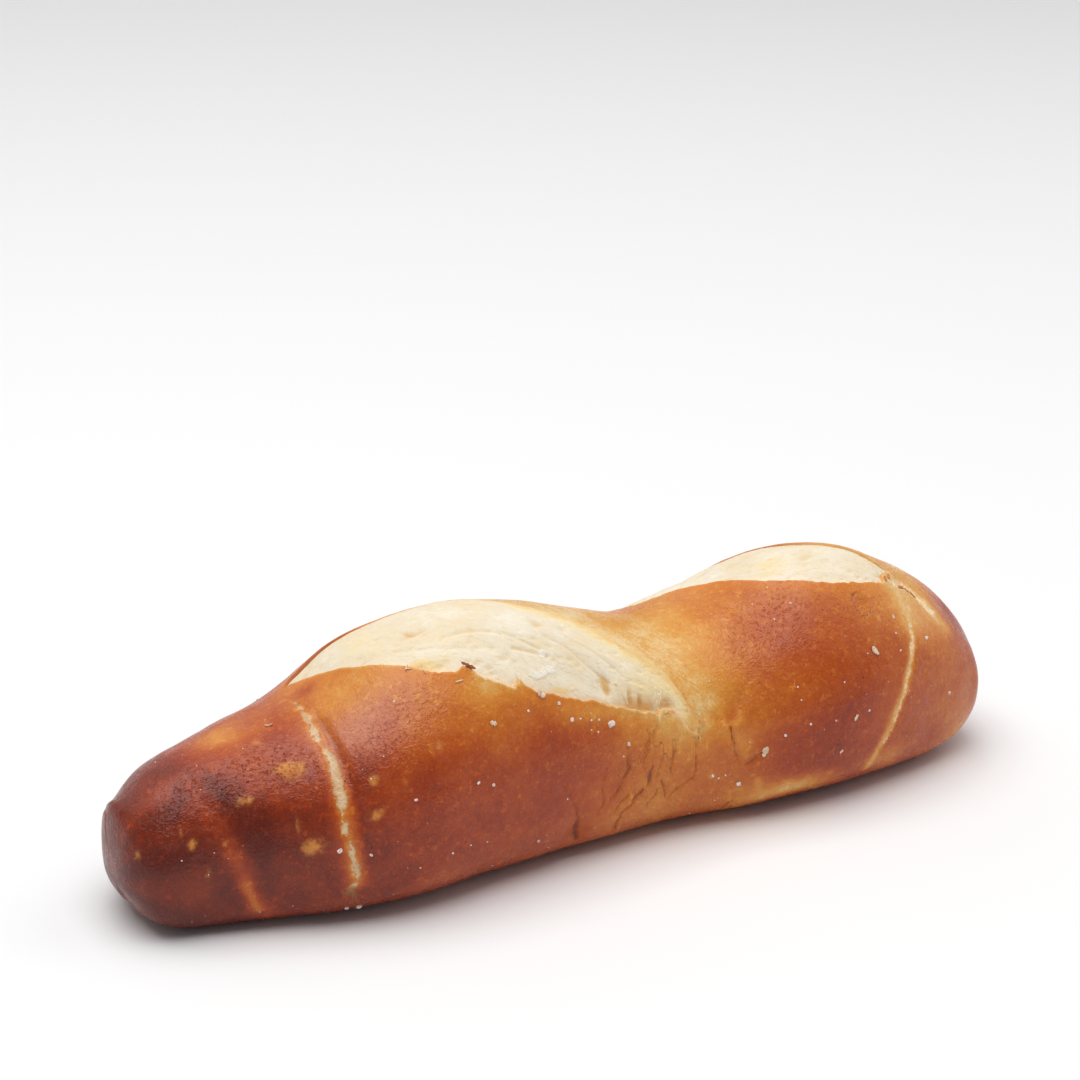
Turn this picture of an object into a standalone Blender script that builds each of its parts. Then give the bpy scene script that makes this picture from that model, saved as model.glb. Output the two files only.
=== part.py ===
"""A long pretzel roll: one baked strand with a glossy brown crust and two slanting cuts.

The roll lies along X with its shorter nose at -X, and rests on its flat underside at Z = 0.
Every point of its skin is found from two numbers: how far along the roll it lies, in
millimetres from the middle, and its turn round the roll in degrees, where 0 is the front
(-Y), 90 the crown, 180 the back and 270, or -90, the underside.
"""

import bpy
import numpy as np

MM = 0.001
ROLL_LENGTH = 200.0
HALF_LENGTH = ROLL_LENGTH / 2

# Along the roll: place, height of the crown, reach of the front flank from the middle.
# The back flank reaches as far as the front one at the opposite place, because the strand
# was cut twice on the slant and swelled the same way on both sides.
PROFILE = (
    (-100, 31.0, 17.0),
    (-88, 32.0, 14.2),
    (-75, 35.0, 18.2),
    (-60, 38.7, 25.0),
    (-45, 47.7, 28.0),
    (-30, 51.8, 26.5),
    (-12, 49.8, 24.0),
    (5, 44.5, 22.3),
    (20, 40.6, 22.6),
    (35, 42.3, 25.6),
    (52, 47.5, 27.0),
    (68, 46.6, 25.0),
    (84, 39.5, 21.3),
    (100, 33.5, 21.0),
)
AXIS_SHARE = 0.40  # the widest level stands at this share of the crown's height
UPPER_SQUARENESS = 2.1
LOWER_SQUARENESS = 2.9
UNDERSIDE_SINK = 1.04  # the lower half reaches this much past the ground, and is cut flat there

# Each nose is a dome: how far it reaches in from the end, and how blunt it is.
LEFT_DOME = (18.5, 2.3)
RIGHT_DOME = (22.0, 2.2)

# The lips of the two cuts: place along the roll, turn round the roll. Past the ends of a cut
# its two lips run on side by side as a plain strip of crust.
LEFT_NEAR_LIP = (
    (-100, 100), (-70, 107), (-57, 110), (-50, 84), (-44, 70), (-37, 61), (-31, 54), (-25, 43),
    (-17, 37), (0, 29), (11, 25), (15, 23), (18, 14), (40, 8), (100, 0),
)
LEFT_FAR_LIP = (
    (-100, 108), (-70, 112), (-57, 116), (-51, 117), (-44, 114), (-30, 110), (-19, 104),
    (-13, 91), (-2, 76), (7, 59), (13, 45), (16, 27), (18, 18), (40, 14), (100, 8),
)
RIGHT_NEAR_LIP = (
    (-100, 150), (0, 152), (13, 143), (27, 118), (33, 108), (41, 91), (45, 80), (52, 67),
    (60, 61), (69, 59), (76, 64), (100, 60),
)
RIGHT_FAR_LIP = (
    (-100, 158), (0, 158), (13, 150), (25, 148), (36, 140), (46, 126), (56, 112), (65, 103),
    (72, 92), (76, 72), (100, 68),
)
LEFT_CUT = (-57.0, 18.0)
RIGHT_CUT = (13.0, 76.0)
CUT_TAPER = 7.0  # a cut fades out over this length at each end

# Across a cut, from its near lip at 0 to its far lip at 1: how far the skin stands proud.
# The crust's lips stand up, the crumb starts below them and swells between them.
ACROSS_CUT = (0.0, 0.05, 0.18, 0.36, 0.56, 0.76, 0.93, 1.0)
CUT_RELIEF = (0.9, -2.0, -1.5, -0.6, 0.0, -0.3, -1.8, 0.6)
LIP_RISE = 0.8
LIP_WIDTH = 3.0

# Dents: place, turn, length along the roll, width round it in degrees, depth.
DENTS = (
    (8, 38, 9, 14, 3.5),  # the hollow where the left cut was pulled open
    (27, 18, 3.5, 10, 2.2),  # the pucker between the two swellings
    (27, 3, 2.5, 11, 1.0),
    (-10, -24, 3.0, 12, 1.6),  # the fold under the front flank
)

# Shallow splits round the roll: their places at some turns, half width, depth.
LEFT_SPLIT = ((-30, -60.2), (0, -60.3), (20, -61.5), (50, -60.8), (95, -60.2))
RIGHT_SPLIT = ((-30, 61), (-14, 63.8), (6, 68.3), (30, 72), (57, 75.8))
SPLIT_HALF_WIDTH = 1.4
SPLIT_DEPTH = 0.7
SPLIT_FADE = 12.0

RINGS = 104
FRONT_ROWS = 19
CROWN_ROWS = 8
BACK_ROWS = 15
UNDERSIDE_TURN = 270.0

CRUST_COLOUR = (0.36, 0.085, 0.022, 1.0)
CRUST_ROUGHNESS = 0.35
CRUMB_COLOUR = (0.86, 0.72, 0.47, 1.0)
CRUMB_ROUGHNESS = 0.75


def clear_scene():
    for item in list(bpy.data.objects):
        bpy.data.objects.remove(item, do_unlink=True)


def through(points, where):
    """A smooth curve through the points, which are pairs in rising order, read at where."""
    places, values = np.array(points, float).T
    steps = np.diff(places)
    slopes = np.diff(values) / steps
    inner = (slopes[:-1] * steps[1:] + slopes[1:] * steps[:-1]) / (steps[:-1] + steps[1:])
    tangents = np.concatenate([slopes[:1], inner, slopes[-1:]])
    last = len(places) - 2
    k = np.clip(np.searchsorted(places, where) - 1, 0, last)
    u = (where - places[k]) / steps[k]
    held = values[k] * (2 * u**3 - 3 * u**2 + 1) + values[k + 1] * (3 * u**2 - 2 * u**3)
    leant = tangents[k] * (u**3 - 2 * u**2 + u) + tangents[k + 1] * (u**3 - u**2)
    return held + steps[k] * leant


def smoothstep(edge_0, edge_1, value):
    u = np.clip((value - edge_0) / (edge_1 - edge_0), 0.0, 1.0)
    return u * u * (3 - 2 * u)


def dome(along):
    """1 along the roll, falling to 0 at each end on a superellipse."""
    fall = np.ones_like(along)
    for side, (reach, bluntness) in ((-1, LEFT_DOME), (1, RIGHT_DOME)):
        depth = np.clip((side * along - HALF_LENGTH + reach) / reach, 0.0, 1.0)
        fall = fall * (1 - depth**bluntness) ** (1 / bluntness)
    return fall


def cut_strength(along, cut):
    start, end = cut
    return smoothstep(start, start + CUT_TAPER, along) * smoothstep(end, end - CUT_TAPER, along)


def cut_relief(along, turn, near_lip, far_lip, cut):
    """The raised lips and the crumb between them, from the place across the cut."""
    near = through(near_lip, along)
    far = through(far_lip, along)
    across = (turn - near) / (far - near)
    inside = np.interp(across, ACROSS_CUT, CUT_RELIEF)
    outside = np.where(across < 0, near - turn, turn - far)
    rim = LIP_RISE * np.exp(-np.maximum(outside, 0) * arc_per_degree(along) / LIP_WIDTH)
    within = (across >= 0) & (across <= 1)
    return cut_strength(along, cut) * np.where(within, inside, rim)


def arc_per_degree(along):
    """About how many millimetres of skin a degree of turn covers."""
    crown = through([(place, height) for place, height, _ in PROFILE], along)
    return np.radians(1) * crown / 2


def dents(along, turn):
    sunk = np.zeros(np.broadcast(along, turn).shape)
    for place, angle, length, width, depth in DENTS:
        away = ((along - place) / length) ** 2 + ((turn - angle) / width) ** 2
        sunk = sunk + depth * np.exp(-away)
    return sunk


def splits(along, turn):
    """The shallow splits in the crust, each fading out where its line ends."""
    sunk = np.zeros(np.broadcast(along, turn).shape)
    for line in (LEFT_SPLIT, RIGHT_SPLIT):
        low, high = line[0][0], line[-1][0]
        held = np.clip(turn, low, high)
        away = (along - through(line, held)) / SPLIT_HALF_WIDTH
        shown = smoothstep(low - SPLIT_FADE, low, turn) * smoothstep(high + SPLIT_FADE, high, turn)
        sunk = sunk + SPLIT_DEPTH * shown * np.exp(-(away**2))
    return sunk


def skin(along, turn):
    """Points of the skin: a superellipse section at each place, moved out from its centre.

    The section's upper half is nearly round. Its lower half is squarer and reaches a little
    below the ground, and what is below the ground is pressed flat onto it.
    """
    crown = through([(place, height) for place, height, _ in PROFILE], along)
    flank = [(place, reach) for place, _, reach in PROFILE]
    front = through(flank, along)
    back = through(flank, -along)
    axis = AXIS_SHARE * crown
    fall = dome(along)
    cosine = np.cos(np.radians(turn))
    sine = np.sin(np.radians(turn))
    upper = sine >= 0
    power = np.where(upper, 2 / UPPER_SQUARENESS, 2 / LOWER_SQUARENESS)
    reach = np.where(cosine >= 0, front, back) * fall
    rise = np.where(upper, crown - axis, UNDERSIDE_SINK * axis) * fall
    across = -reach * np.sign(cosine) * np.abs(cosine) ** power
    up = rise * np.sign(sine) * np.abs(sine) ** power
    proud = (
        cut_relief(along, turn, LEFT_NEAR_LIP, LEFT_FAR_LIP, LEFT_CUT)
        + cut_relief(along, turn, RIGHT_NEAR_LIP, RIGHT_FAR_LIP, RIGHT_CUT)
        - dents(along, turn)
        - splits(along, turn)
    )
    grown = 1 + proud * fall / np.hypot(across, up)
    height = np.maximum(axis + up * grown, 0.0)
    return np.stack([along * np.ones_like(turn), across * grown, height], axis=-1)


def ring_places():
    """Places of the rings, closer together towards the two noses."""
    steps = np.linspace(0, 1, RINGS + 2)[1:-1]
    return HALF_LENGTH * (0.5 * (2 * steps - 1) - 0.5 * np.cos(np.pi * steps))


def ring_turns(along):
    """Turns of the rows at each place, so that a row of points runs along every lip."""
    cut_shares = np.array(ACROSS_CUT[:-1])
    spans = (
        (-90.0 + 0 * along, through(LEFT_NEAR_LIP, along), np.arange(FRONT_ROWS) / FRONT_ROWS),
        (through(LEFT_NEAR_LIP, along), through(LEFT_FAR_LIP, along), cut_shares),
        (
            through(LEFT_FAR_LIP, along),
            through(RIGHT_NEAR_LIP, along),
            np.arange(CROWN_ROWS) / CROWN_ROWS,
        ),
        (through(RIGHT_NEAR_LIP, along), through(RIGHT_FAR_LIP, along), cut_shares),
        (through(RIGHT_FAR_LIP, along), UNDERSIDE_TURN + 0 * along, np.arange(BACK_ROWS) / BACK_ROWS),
    )
    rows = [start + (end - start) * share for start, end, shares in spans for share in shares]
    return np.stack(rows, axis=1)


def crumb_rows():
    """For each row of faces, which cut it lies in: 0 for none, 1 for the left, 2 for the right."""
    inside = len(ACROSS_CUT) - 1
    return np.repeat([0, 1, 0, 2, 0], [FRONT_ROWS, inside, CROWN_ROWS, inside, BACK_ROWS])


def roll_faces(rows):
    """Quads between neighbouring rings, and a fan of triangles at each nose's tip."""
    ring = np.arange(RINGS - 1)[:, None] * rows
    row = np.arange(rows)
    following = (row + 1) % rows
    quads = np.stack([ring + row, ring + rows + row, ring + rows + following, ring + following], -1)
    left_tip = RINGS * rows
    right_tip = left_tip + 1
    last = (RINGS - 1) * rows
    left_fan = [(left_tip, int(a), int(b)) for a, b in zip(row, following)]
    right_fan = [(right_tip, int(b) + last, int(a) + last) for a, b in zip(row, following)]
    return quads.reshape(-1, 4).tolist() + left_fan + right_fan


def crumb_faces(along):
    """Marks the faces that lie inside a cut, in the order of roll_faces."""
    middles = (along[1:] + along[:-1]) / 2
    row_cut = crumb_rows()
    marked = np.zeros((RINGS - 1, len(row_cut)), bool)
    for number, (start, end) in ((1, LEFT_CUT), (2, RIGHT_CUT)):
        opened = (middles > start) & (middles < end)
        marked |= opened[:, None] & (row_cut == number)
    return marked.reshape(-1)


def baked_material(name, colour, roughness):
    material = bpy.data.materials.new(name)
    material.use_nodes = True
    shader = material.node_tree.nodes["Principled BSDF"]
    shader.inputs["Base Color"].default_value = colour
    shader.inputs["Roughness"].default_value = roughness
    shader.inputs["Metallic"].default_value = 0.0
    material.diffuse_color = colour
    return material


def crust_material():
    return baked_material("crust", CRUST_COLOUR, CRUST_ROUGHNESS)


def crumb_material():
    return baked_material("crumb", CRUMB_COLOUR, CRUMB_ROUGHNESS)


def make_roll():
    along = ring_places()
    turns = ring_turns(along)
    points = skin(along[:, None], turns).reshape(-1, 3)
    tip_height = AXIS_SHARE * PROFILE[0][1], AXIS_SHARE * PROFILE[-1][1]
    tips = [(-HALF_LENGTH, 0.0, tip_height[0]), (HALF_LENGTH, 0.0, tip_height[1])]
    points = np.concatenate([points, tips]) * MM
    mesh = bpy.data.meshes.new("pretzel_roll")
    mesh.from_pydata(points.tolist(), [], roll_faces(turns.shape[1]))
    mesh.materials.append(crust_material())
    mesh.materials.append(crumb_material())
    for face, in_cut in zip(mesh.polygons, crumb_faces(along)):
        face.material_index = int(in_cut)
    mesh.shade_smooth()
    mesh.set_sharp_from_angle(angle=np.radians(50))
    roll = bpy.data.objects.new("pretzel_roll", mesh)
    bpy.context.scene.collection.objects.link(roll)
    return roll


def main():
    clear_scene()
    make_roll()


main()
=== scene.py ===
"""The looks of a long pretzel roll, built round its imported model.

A place on the roll's skin is given by two numbers, as in its model: how far along the roll it
lies, in millimetres from the middle, and its turn round the roll in degrees, where 0 is the
front (-Y), 90 the crown, 180 the back and 270, or -90, the underside.
"""

import itertools
import math
from typing import NamedTuple

import bpy
import numpy as np
from mathutils import Matrix, Vector


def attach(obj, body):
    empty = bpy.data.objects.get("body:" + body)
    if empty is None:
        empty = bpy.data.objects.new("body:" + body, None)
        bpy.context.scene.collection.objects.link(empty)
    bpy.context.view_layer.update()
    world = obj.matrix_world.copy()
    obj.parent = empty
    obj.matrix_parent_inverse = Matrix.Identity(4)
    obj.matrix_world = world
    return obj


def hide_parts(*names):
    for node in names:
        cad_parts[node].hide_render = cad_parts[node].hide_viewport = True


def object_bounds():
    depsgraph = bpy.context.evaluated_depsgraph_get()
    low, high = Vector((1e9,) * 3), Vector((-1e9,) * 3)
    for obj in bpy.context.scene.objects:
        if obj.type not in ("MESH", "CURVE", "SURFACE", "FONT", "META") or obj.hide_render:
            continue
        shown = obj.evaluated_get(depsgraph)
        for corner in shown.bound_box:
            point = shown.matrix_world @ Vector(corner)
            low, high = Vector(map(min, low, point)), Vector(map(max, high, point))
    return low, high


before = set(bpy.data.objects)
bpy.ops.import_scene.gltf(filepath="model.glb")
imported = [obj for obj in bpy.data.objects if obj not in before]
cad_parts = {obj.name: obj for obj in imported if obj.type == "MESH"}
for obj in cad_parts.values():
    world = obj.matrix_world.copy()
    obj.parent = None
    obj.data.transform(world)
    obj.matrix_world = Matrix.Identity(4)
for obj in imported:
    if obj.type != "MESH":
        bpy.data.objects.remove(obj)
CAD_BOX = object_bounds()

bl_info = {
    "name": "Pretzel roll",
    "version": (1, 0, 0),
    "blender": (4, 5, 0),
    "location": "3D view > Sidebar > Roll",
    "description": "Crust, crumb, salt and stage of a long pretzel roll",
    "category": "Add Mesh",
}

MM = 0.001
NODE = "pretzel_roll"
BODY = "root"
HALF_LENGTH = CAD_BOX[1].x / MM

# ----------------------------------------------------------------------------------------
# The bare roll, as in its model
# ----------------------------------------------------------------------------------------

# Along the roll: place, height of the crown, reach of the front flank from the middle.
PROFILE = (
    (-100, 31.0, 17.0),
    (-88, 32.0, 14.2),
    (-75, 35.0, 18.2),
    (-60, 38.7, 25.0),
    (-45, 47.7, 28.0),
    (-30, 51.8, 26.5),
    (-12, 49.8, 24.0),
    (5, 44.5, 22.3),
    (20, 40.6, 22.6),
    (35, 42.3, 25.6),
    (52, 47.5, 27.0),
    (68, 46.6, 25.0),
    (84, 39.5, 21.3),
    (100, 33.5, 21.0),
)
CROWN = tuple((place, height) for place, height, _ in PROFILE)
FLANK = tuple((place, reach) for place, _, reach in PROFILE)
AXIS_SHARE = 0.40  # height of the section's widest level, as a share of the crown's
UPPER_SQUARENESS = 2.1  # powers of the section's superellipse, above that level and below it
LOWER_SQUARENESS = 2.9
UNDERSIDE_SINK = 1.04  # its depth below that level, as a share of the level's height
LEFT_DOME = (18.5, 2.3)  # length of a nose's dome, and its power
RIGHT_DOME = (22.0, 2.2)


def through(points, where):
    """A smooth curve through the points, which are pairs in rising order, read at where."""
    places, values = np.array(points, float).T
    steps = np.diff(places)
    slopes = np.diff(values) / steps
    inner = (slopes[:-1] * steps[1:] + slopes[1:] * steps[:-1]) / (steps[:-1] + steps[1:])
    tangents = np.concatenate([slopes[:1], inner, slopes[-1:]])
    k = np.clip(np.searchsorted(places, where) - 1, 0, len(places) - 2)
    u = (where - places[k]) / steps[k]
    held = values[k] * (2 * u**3 - 3 * u**2 + 1) + values[k + 1] * (3 * u**2 - 2 * u**3)
    leant = tangents[k] * (u**3 - 2 * u**2 + u) + tangents[k + 1] * (u**3 - u**2)
    return held + steps[k] * leant


def smoothstep(edge_0, edge_1, value):
    """0 before the first edge and 1 past the second, on a smooth S between them."""
    u = np.clip((value - edge_0) / (edge_1 - edge_0), 0.0, 1.0)
    return u * u * (3 - 2 * u)


def dome(along):
    """1 along the roll, falling to 0 at each end on a superellipse."""
    fall = np.ones_like(along)
    for side, (reach, bluntness) in ((-1, LEFT_DOME), (1, RIGHT_DOME)):
        depth = np.clip((side * along - HALF_LENGTH + reach) / reach, 0.0, 1.0)
        fall = fall * (1 - depth**bluntness) ** (1 / bluntness)
    return fall


def arc(along):
    """About how many millimetres of skin one degree of turn covers."""
    return np.radians(1) * through(CROWN, along) / 2


def skin(along, turn, proud):
    """Points of the skin in millimetres, standing proud of the bare roll by the given amount.

    At each place the section is a superellipse, nearly round above its widest level and
    squarer below it. A point moves out from the section's centre by how far it stands
    proud, and what would lie below the ground is pressed flat onto it.
    """
    axis = AXIS_SHARE * through(CROWN, along)
    fall = dome(along)
    cosine = np.cos(np.radians(turn))
    sine = np.sin(np.radians(turn))
    upper = sine >= 0
    power = np.where(upper, 2 / UPPER_SQUARENESS, 2 / LOWER_SQUARENESS)
    reach = np.where(cosine >= 0, through(FLANK, along), through(FLANK, -along)) * fall
    rise = np.where(upper, through(CROWN, along) - axis, UNDERSIDE_SINK * axis) * fall
    across = -reach * np.sign(cosine) * np.abs(cosine) ** power
    up = rise * np.sign(sine) * np.abs(sine) ** power
    grown = 1 + proud * fall / np.hypot(across, up)
    height = np.maximum(axis + up * grown, 0.0)
    return np.stack([along + 0 * turn, across * grown, height], axis=-1)


# ----------------------------------------------------------------------------------------
# The two cuts
# ----------------------------------------------------------------------------------------


class Cut(NamedTuple):
    """A slanting cut: its two lips, as turns along the roll, which cross at its two ends.

    near_rise and far_rise give how far the crust stands proud at each lip, and near_sink,
    swell and far_sink how far the crumb lies below, above and below the bare roll at its
    near lip, in its middle and at its far lip, each as a curve along the roll.
    """

    near: tuple
    far: tuple
    span: tuple
    near_rise: tuple
    far_rise: tuple
    near_sink: tuple
    swell: tuple
    far_sink: tuple


LEFT_CUT = Cut(
    near=(
        (-100, 140), (-70, 122), (-59.5, 113.5), (-57, 105), (-54, 96), (-50, 85), (-46, 74.5),
        (-44.0, 70), (-42.8, 68.4), (-42.2, 67.2), (-40.6, 62.6), (-37.8, 58), (-35.8, 55.8),
        (-33.6, 54.6), (-32.0, 55.4), (-31.2, 54.6), (-30.4, 50.8), (-28, 46.4), (-25.2, 42.4),
        (-22.4, 41.6), (-21.6, 42.2), (-21.1, 44.0), (-20.7, 42.0), (-19.3, 39.4), (-18.3, 37.6),
        (-14.9, 36), (-12.8, 35.2), (-8.7, 32.6), (-3.7, 30.8), (1, 29), (4.2, 27.4),
        (7.4, 25.8), (9.2, 25.6), (9.5, 25.0), (9.8, 23.0), (10.1, 25.6), (11, 27.2),
        (13, 27.2), (14.1, 26), (14.9, 22.8), (15.8, 19.6), (16.8, 16.4), (18.2, 14.2),
        (26, 16), (50, 20), (100, 20),
    ),
    far=(
        (-100, 100), (-70, 106), (-59.5, 111.5), (-56, 115.5), (-51, 118.5), (-44, 118.5),
        (-36, 116), (-30, 113.5), (-23, 109), (-19, 104.5), (-15.5, 97), (-13, 91),
        (-8, 84.5), (-2, 78), (3, 69.5), (7, 61.5), (10.5, 54), (13.2, 47.5), (15.2, 40),
        (16.6, 33), (17.4, 26.5), (18.0, 19.5), (18.4, 14), (26, 8), (50, 6), (100, 6),
    ),
    span=(-59.5, 18.2),
    near_rise=((-60, 0.2), (-50, 0.7), (-30, 0.9), (0, 0.8), (12, 0.7), (16, 0.4), (20, 0.2)),
    far_rise=((-60, 0.3), (-50, 0.45), (-42, 0.25), (-30, 0.2), (-20, 0.1), (-14, 0.0), (20, 0.0)),
    near_sink=(
        (-60, 0.3), (-48, 0.6), (-30, 0.65), (-12, 0.4), (-2, 0.6), (8, 1.0), (15, 0.7), (20, 0.2),
    ),
    swell=((-60, 0.0), (-45, 0.3), (-30, 0.5), (-10, 0.3), (5, 0.0), (20, 0.0)),
    far_sink=(
        (-60, 0.3), (-48, 0.3), (-40, 0.05), (-30, -0.05), (-20, 0.0), (-14, 0.05), (20, 0.05),
    ),
)
RIGHT_CUT = Cut(
    near=(
        (-100, 170), (0, 152), (8, 143), (13, 135), (19, 122), (24.5, 114), (28, 111.5),
        (31, 109), (33.5, 105.5), (37, 99.5), (41, 90), (45, 79.5), (48, 73.5), (52, 67.5),
        (56, 63.5), (60, 61.5), (65, 59.5), (68.6, 59), (70.4, 60), (71.1, 62.4), (71.5, 66.4),
        (72.0, 63.4), (72.6, 64), (73.1, 68), (73.7, 66.4), (74.8, 70), (86, 76), (100, 80),
    ),
    far=(
        (-100, 110), (0, 124), (8, 131), (13, 138), (18, 144), (23, 147.5), (29, 147), (36, 140),
        (46, 127), (56, 115), (62, 108), (66, 101), (69.5, 93), (72, 84), (73.8, 75),
        (74.8, 70.5), (86, 66), (100, 60),
    ),
    span=(12.0, 75.0),
    near_rise=((10, 0.2), (25, 0.6), (45, 0.8), (65, 0.9), (74, 0.6), (80, 0.2)),
    far_rise=((10, 0.1), (25, 0.2), (45, 0.35), (60, 0.4), (72, 0.4), (80, 0.2)),
    near_sink=(
        (10, 0.3), (20, 0.0), (26, -0.4), (31, 0.0), (45, 0.7), (65, 0.7), (74, 0.5), (80, 0.3),
    ),
    swell=((10, 0.0), (20, 0.7), (28, 1.0), (36, 0.7), (50, 0.7), (66, 0.4), (80, 0.0)),
    far_sink=((10, 0.2), (25, 0.1), (45, 0.15), (62, 0.3), (74, 0.4), (80, 0.3)),
)
CUTS = (LEFT_CUT, RIGHT_CUT)
STRIP_HALF = 3.0  # past a cut's ends its rows of points run on in a strip this many degrees wide
LIP_WIDTH = 3.2  # over which the crust rises towards a lip
LIP_FADE = 4.0  # past a cut's ends its lips sink back into the crust over this length
WALL = (0.10, 0.85)  # the crust's edge drops between these distances inside the lip
FLOOR = 7.0  # how deep the crust's hidden floor lies under the crumb
TUCK = 1.1  # how far the crumb reaches under the crust


def lip_turn(lip, along):
    """The turn of a lip: its smooth curve, and small seeded teeth where the crust tore."""
    teeth = np.stack([along, 0 * along, 0 * along + len(lip)], axis=-1)
    ragged = 0.6 * cloud(teeth, 2.6, 3) + 0.5 * cloud(teeth, 1.1, 4) + 0.4 * cloud(teeth, 0.6, 5)
    return through(lip, along) + ragged


def lip_lean(lip, along, step):
    """Millimetres of skin by which a lip climbs for each one along the roll, over twice the step."""
    rise = through(lip, along + step) - through(lip, along - step)
    return rise * arc(along) / (2 * step)


def lip_distance(lip, along, turn):
    """How far a place lies past a lip, in millimetres of skin: close by, square to the lip
    itself, and farther off, square to its general run, so that its teeth throw no lines."""
    general = np.mean([through(lip, along + shift) for shift in (-3.0, -1.5, 0.0, 1.5, 3.0)], axis=0)
    off = (turn - general) * arc(along)
    close = np.exp(-((off / 2.6) ** 4))
    off = (turn - close * lip_turn(lip, along) - (1 - close) * general) * arc(along)
    lean = close * lip_lean(lip, along, 0.05) ** 2 + (1 - close) * lip_lean(lip, along, 3.0) ** 2
    return off / np.sqrt(1 + lean)


def inset(cut, along, turn):
    """Distances inside the near and the far lip, in millimetres. Both are positive inside the cut."""
    return lip_distance(cut.near, along, turn), -lip_distance(cut.far, along, turn)


def row_guides(cut, along):
    """The turns that a cut's first and last row of points follow: its lips, held apart."""
    near, far = lip_turn(cut.near, along), lip_turn(cut.far, along)
    middle, half = (near + far) / 2, np.maximum((far - near) / 2, STRIP_HALF)
    return middle - half, middle + half


# ----------------------------------------------------------------------------------------
# Noise and lines on the skin
# ----------------------------------------------------------------------------------------

NOISE_TABLE = 4096
HASH = (73856093, 19349663, 83492791)
ARC = 0.42  # millimetres that one degree of turn covers on the skin unrolled
FAR_OFF = 9.0  # a line's distance is held at this many millimetres


def cloud(points, size, seed):
    """Smooth noise from -1 to 1: random numbers at the corners of cubes of the given size,
    blended inside each cube by a quintic ease along each axis. size may be one per axis."""
    table = np.random.default_rng(seed).uniform(-1, 1, NOISE_TABLE)
    spot = points / np.array(size, float)
    cell = np.floor(spot).astype(np.int64)
    part = spot - cell
    ease = part**3 * (part * (part * 6 - 15) + 10)
    total = np.zeros(spot.shape[:-1])
    for corner in itertools.product((0, 1), repeat=3):
        mixed = np.bitwise_xor.reduce((cell + corner) * HASH, axis=-1) % NOISE_TABLE
        weight = np.prod(np.where(corner, ease, 1 - ease), axis=-1)
        total += table[mixed] * weight
    return total


def flat_skin(along, turn):
    """A place as a point in millimetres on the skin unrolled, with the same arc for all."""
    return np.stack([along + 0 * turn, turn * ARC + 0 * along, 0 * turn + 0 * along], axis=-1)


def line_distance(path, along, turn):
    """Distance to a line on the skin, less its half width there, in millimetres.

    The line is a smooth curve through (place, turn, half width), read at many points, and
    the distance is the least to any of its short straight stretches.
    """
    knots = np.array(path, float)
    steps = np.arange(len(knots))
    fine = np.linspace(0, len(knots) - 1, 6 * (len(knots) - 1) + 1)
    spots = [through(tuple(zip(steps, column)), fine) for column in knots.T]
    x, y, half = spots[0], spots[1] * ARC, spots[2]
    least = np.full(np.broadcast(along, turn).shape, FAR_OFF)
    for i in range(len(fine) - 1):
        run, climb = x[i + 1] - x[i], y[i + 1] - y[i]
        share = ((along - x[i]) * run + (turn * ARC - y[i]) * climb) / (run**2 + climb**2)
        share = np.clip(share, 0, 1)
        away = np.hypot(along - x[i] - share * run, turn * ARC - y[i] - share * climb)
        least = np.minimum(least, away - half[i] - share * (half[i + 1] - half[i]))
    return least


def patches(spots, along, turn):
    """The sum of round soft patches, each (place, turn, length, width in degrees, amount)."""
    total = np.zeros(np.broadcast(along, turn).shape)
    for place, angle, length, width, amount in spots:
        total += amount * np.exp(-(((along - place) / length) ** 2) - ((turn - angle) / width) ** 2)
    return total


def middle_distance(path, along, turn):
    """Distance to a thin line on the skin, whose path gives only places and turns."""
    return line_distance(tuple((*spot, 0.0) for spot in path), along, turn)


def ridges(lines, along, turn):
    """The sum of soft ridges, each (height, width, path): a bell across the path's line."""
    total = np.zeros(np.broadcast(along, turn).shape)
    for height, width, path in lines:
        total += height * np.exp(-((middle_distance(path, along, turn) / width) ** 2))
    return total


# Pale splits where the crust tore as the roll rose: place, turn, half width along each.
LEFT_SPLIT = (
    (-60.4, 95, -0.1), (-60.5, 89, 0.1), (-60.6, 84, 0.25), (-60.8, 74, 0.4), (-61.2, 66, 0.5),
    (-61.5, 60.5, -0.3), (-60.9, 56.5, 0.3), (-60.6, 52, 0.75), (-60.9, 47, 0.85), (-61.1, 41, 0.9),
    (-61.3, 35, 0.85), (-61.4, 29.5, 0.75), (-61.8, 25, 0.3), (-62.1, 21.5, -0.3), (-61.8, 18, 0.6),
    (-61.6, 15.5, 0.45), (-61.4, 12, -0.3), (-61.1, 6.5, 0.4), (-60.6, 0, 0.45), (-60.0, -5, 0.3),
    (-59.8, -10, -0.1), (-60.8, -13, 0.7), (-60.9, -18, 0.9), (-60.3, -23, 0.3), (-59.8, -34, 0.1),
    (-59.8, -46, 0.3),
)
RIGHT_SPLIT = (
    (73.2, 44, -0.5), (73.0, 37, 0.0), (72.8, 31, 0.35), (72.0, 26, 0.4), (71.0, 20, 0.15),
    (69.3, 13, 0.3), (67.9, 6, 0.1), (66.2, 0.5, 0.2), (65.0, -4, 0.0), (63.2, -10, 0.1),
    (61.0, -17, -0.3), (59.5, -26, -0.5),
)
TAIL_SPLIT = (
    (72.8, 62.0, 0.3), (74.4, 60.6, 0.7), (76.6, 62.4, 0.5), (78.4, 58.6, 0.6), (80.4, 52.6, 0.7),
    (82.0, 47.6, 0.5), (83.2, 43.6, 0.0),
)
# Where the crust wrinkled more: place, turn, length, width in degrees, how much.
WRINKLES = (
    (-50, 46, 9, 14, 1.8),
    (-71, 58, 9, 16, 1.7),
    (-90, 60, 9, 34, 1.1),
    (40, 62, 10, 14, 1.2),
    (58, 50, 12, 16, 0.7),
    (32, 44, 6, 18, 0.6),
)
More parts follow.
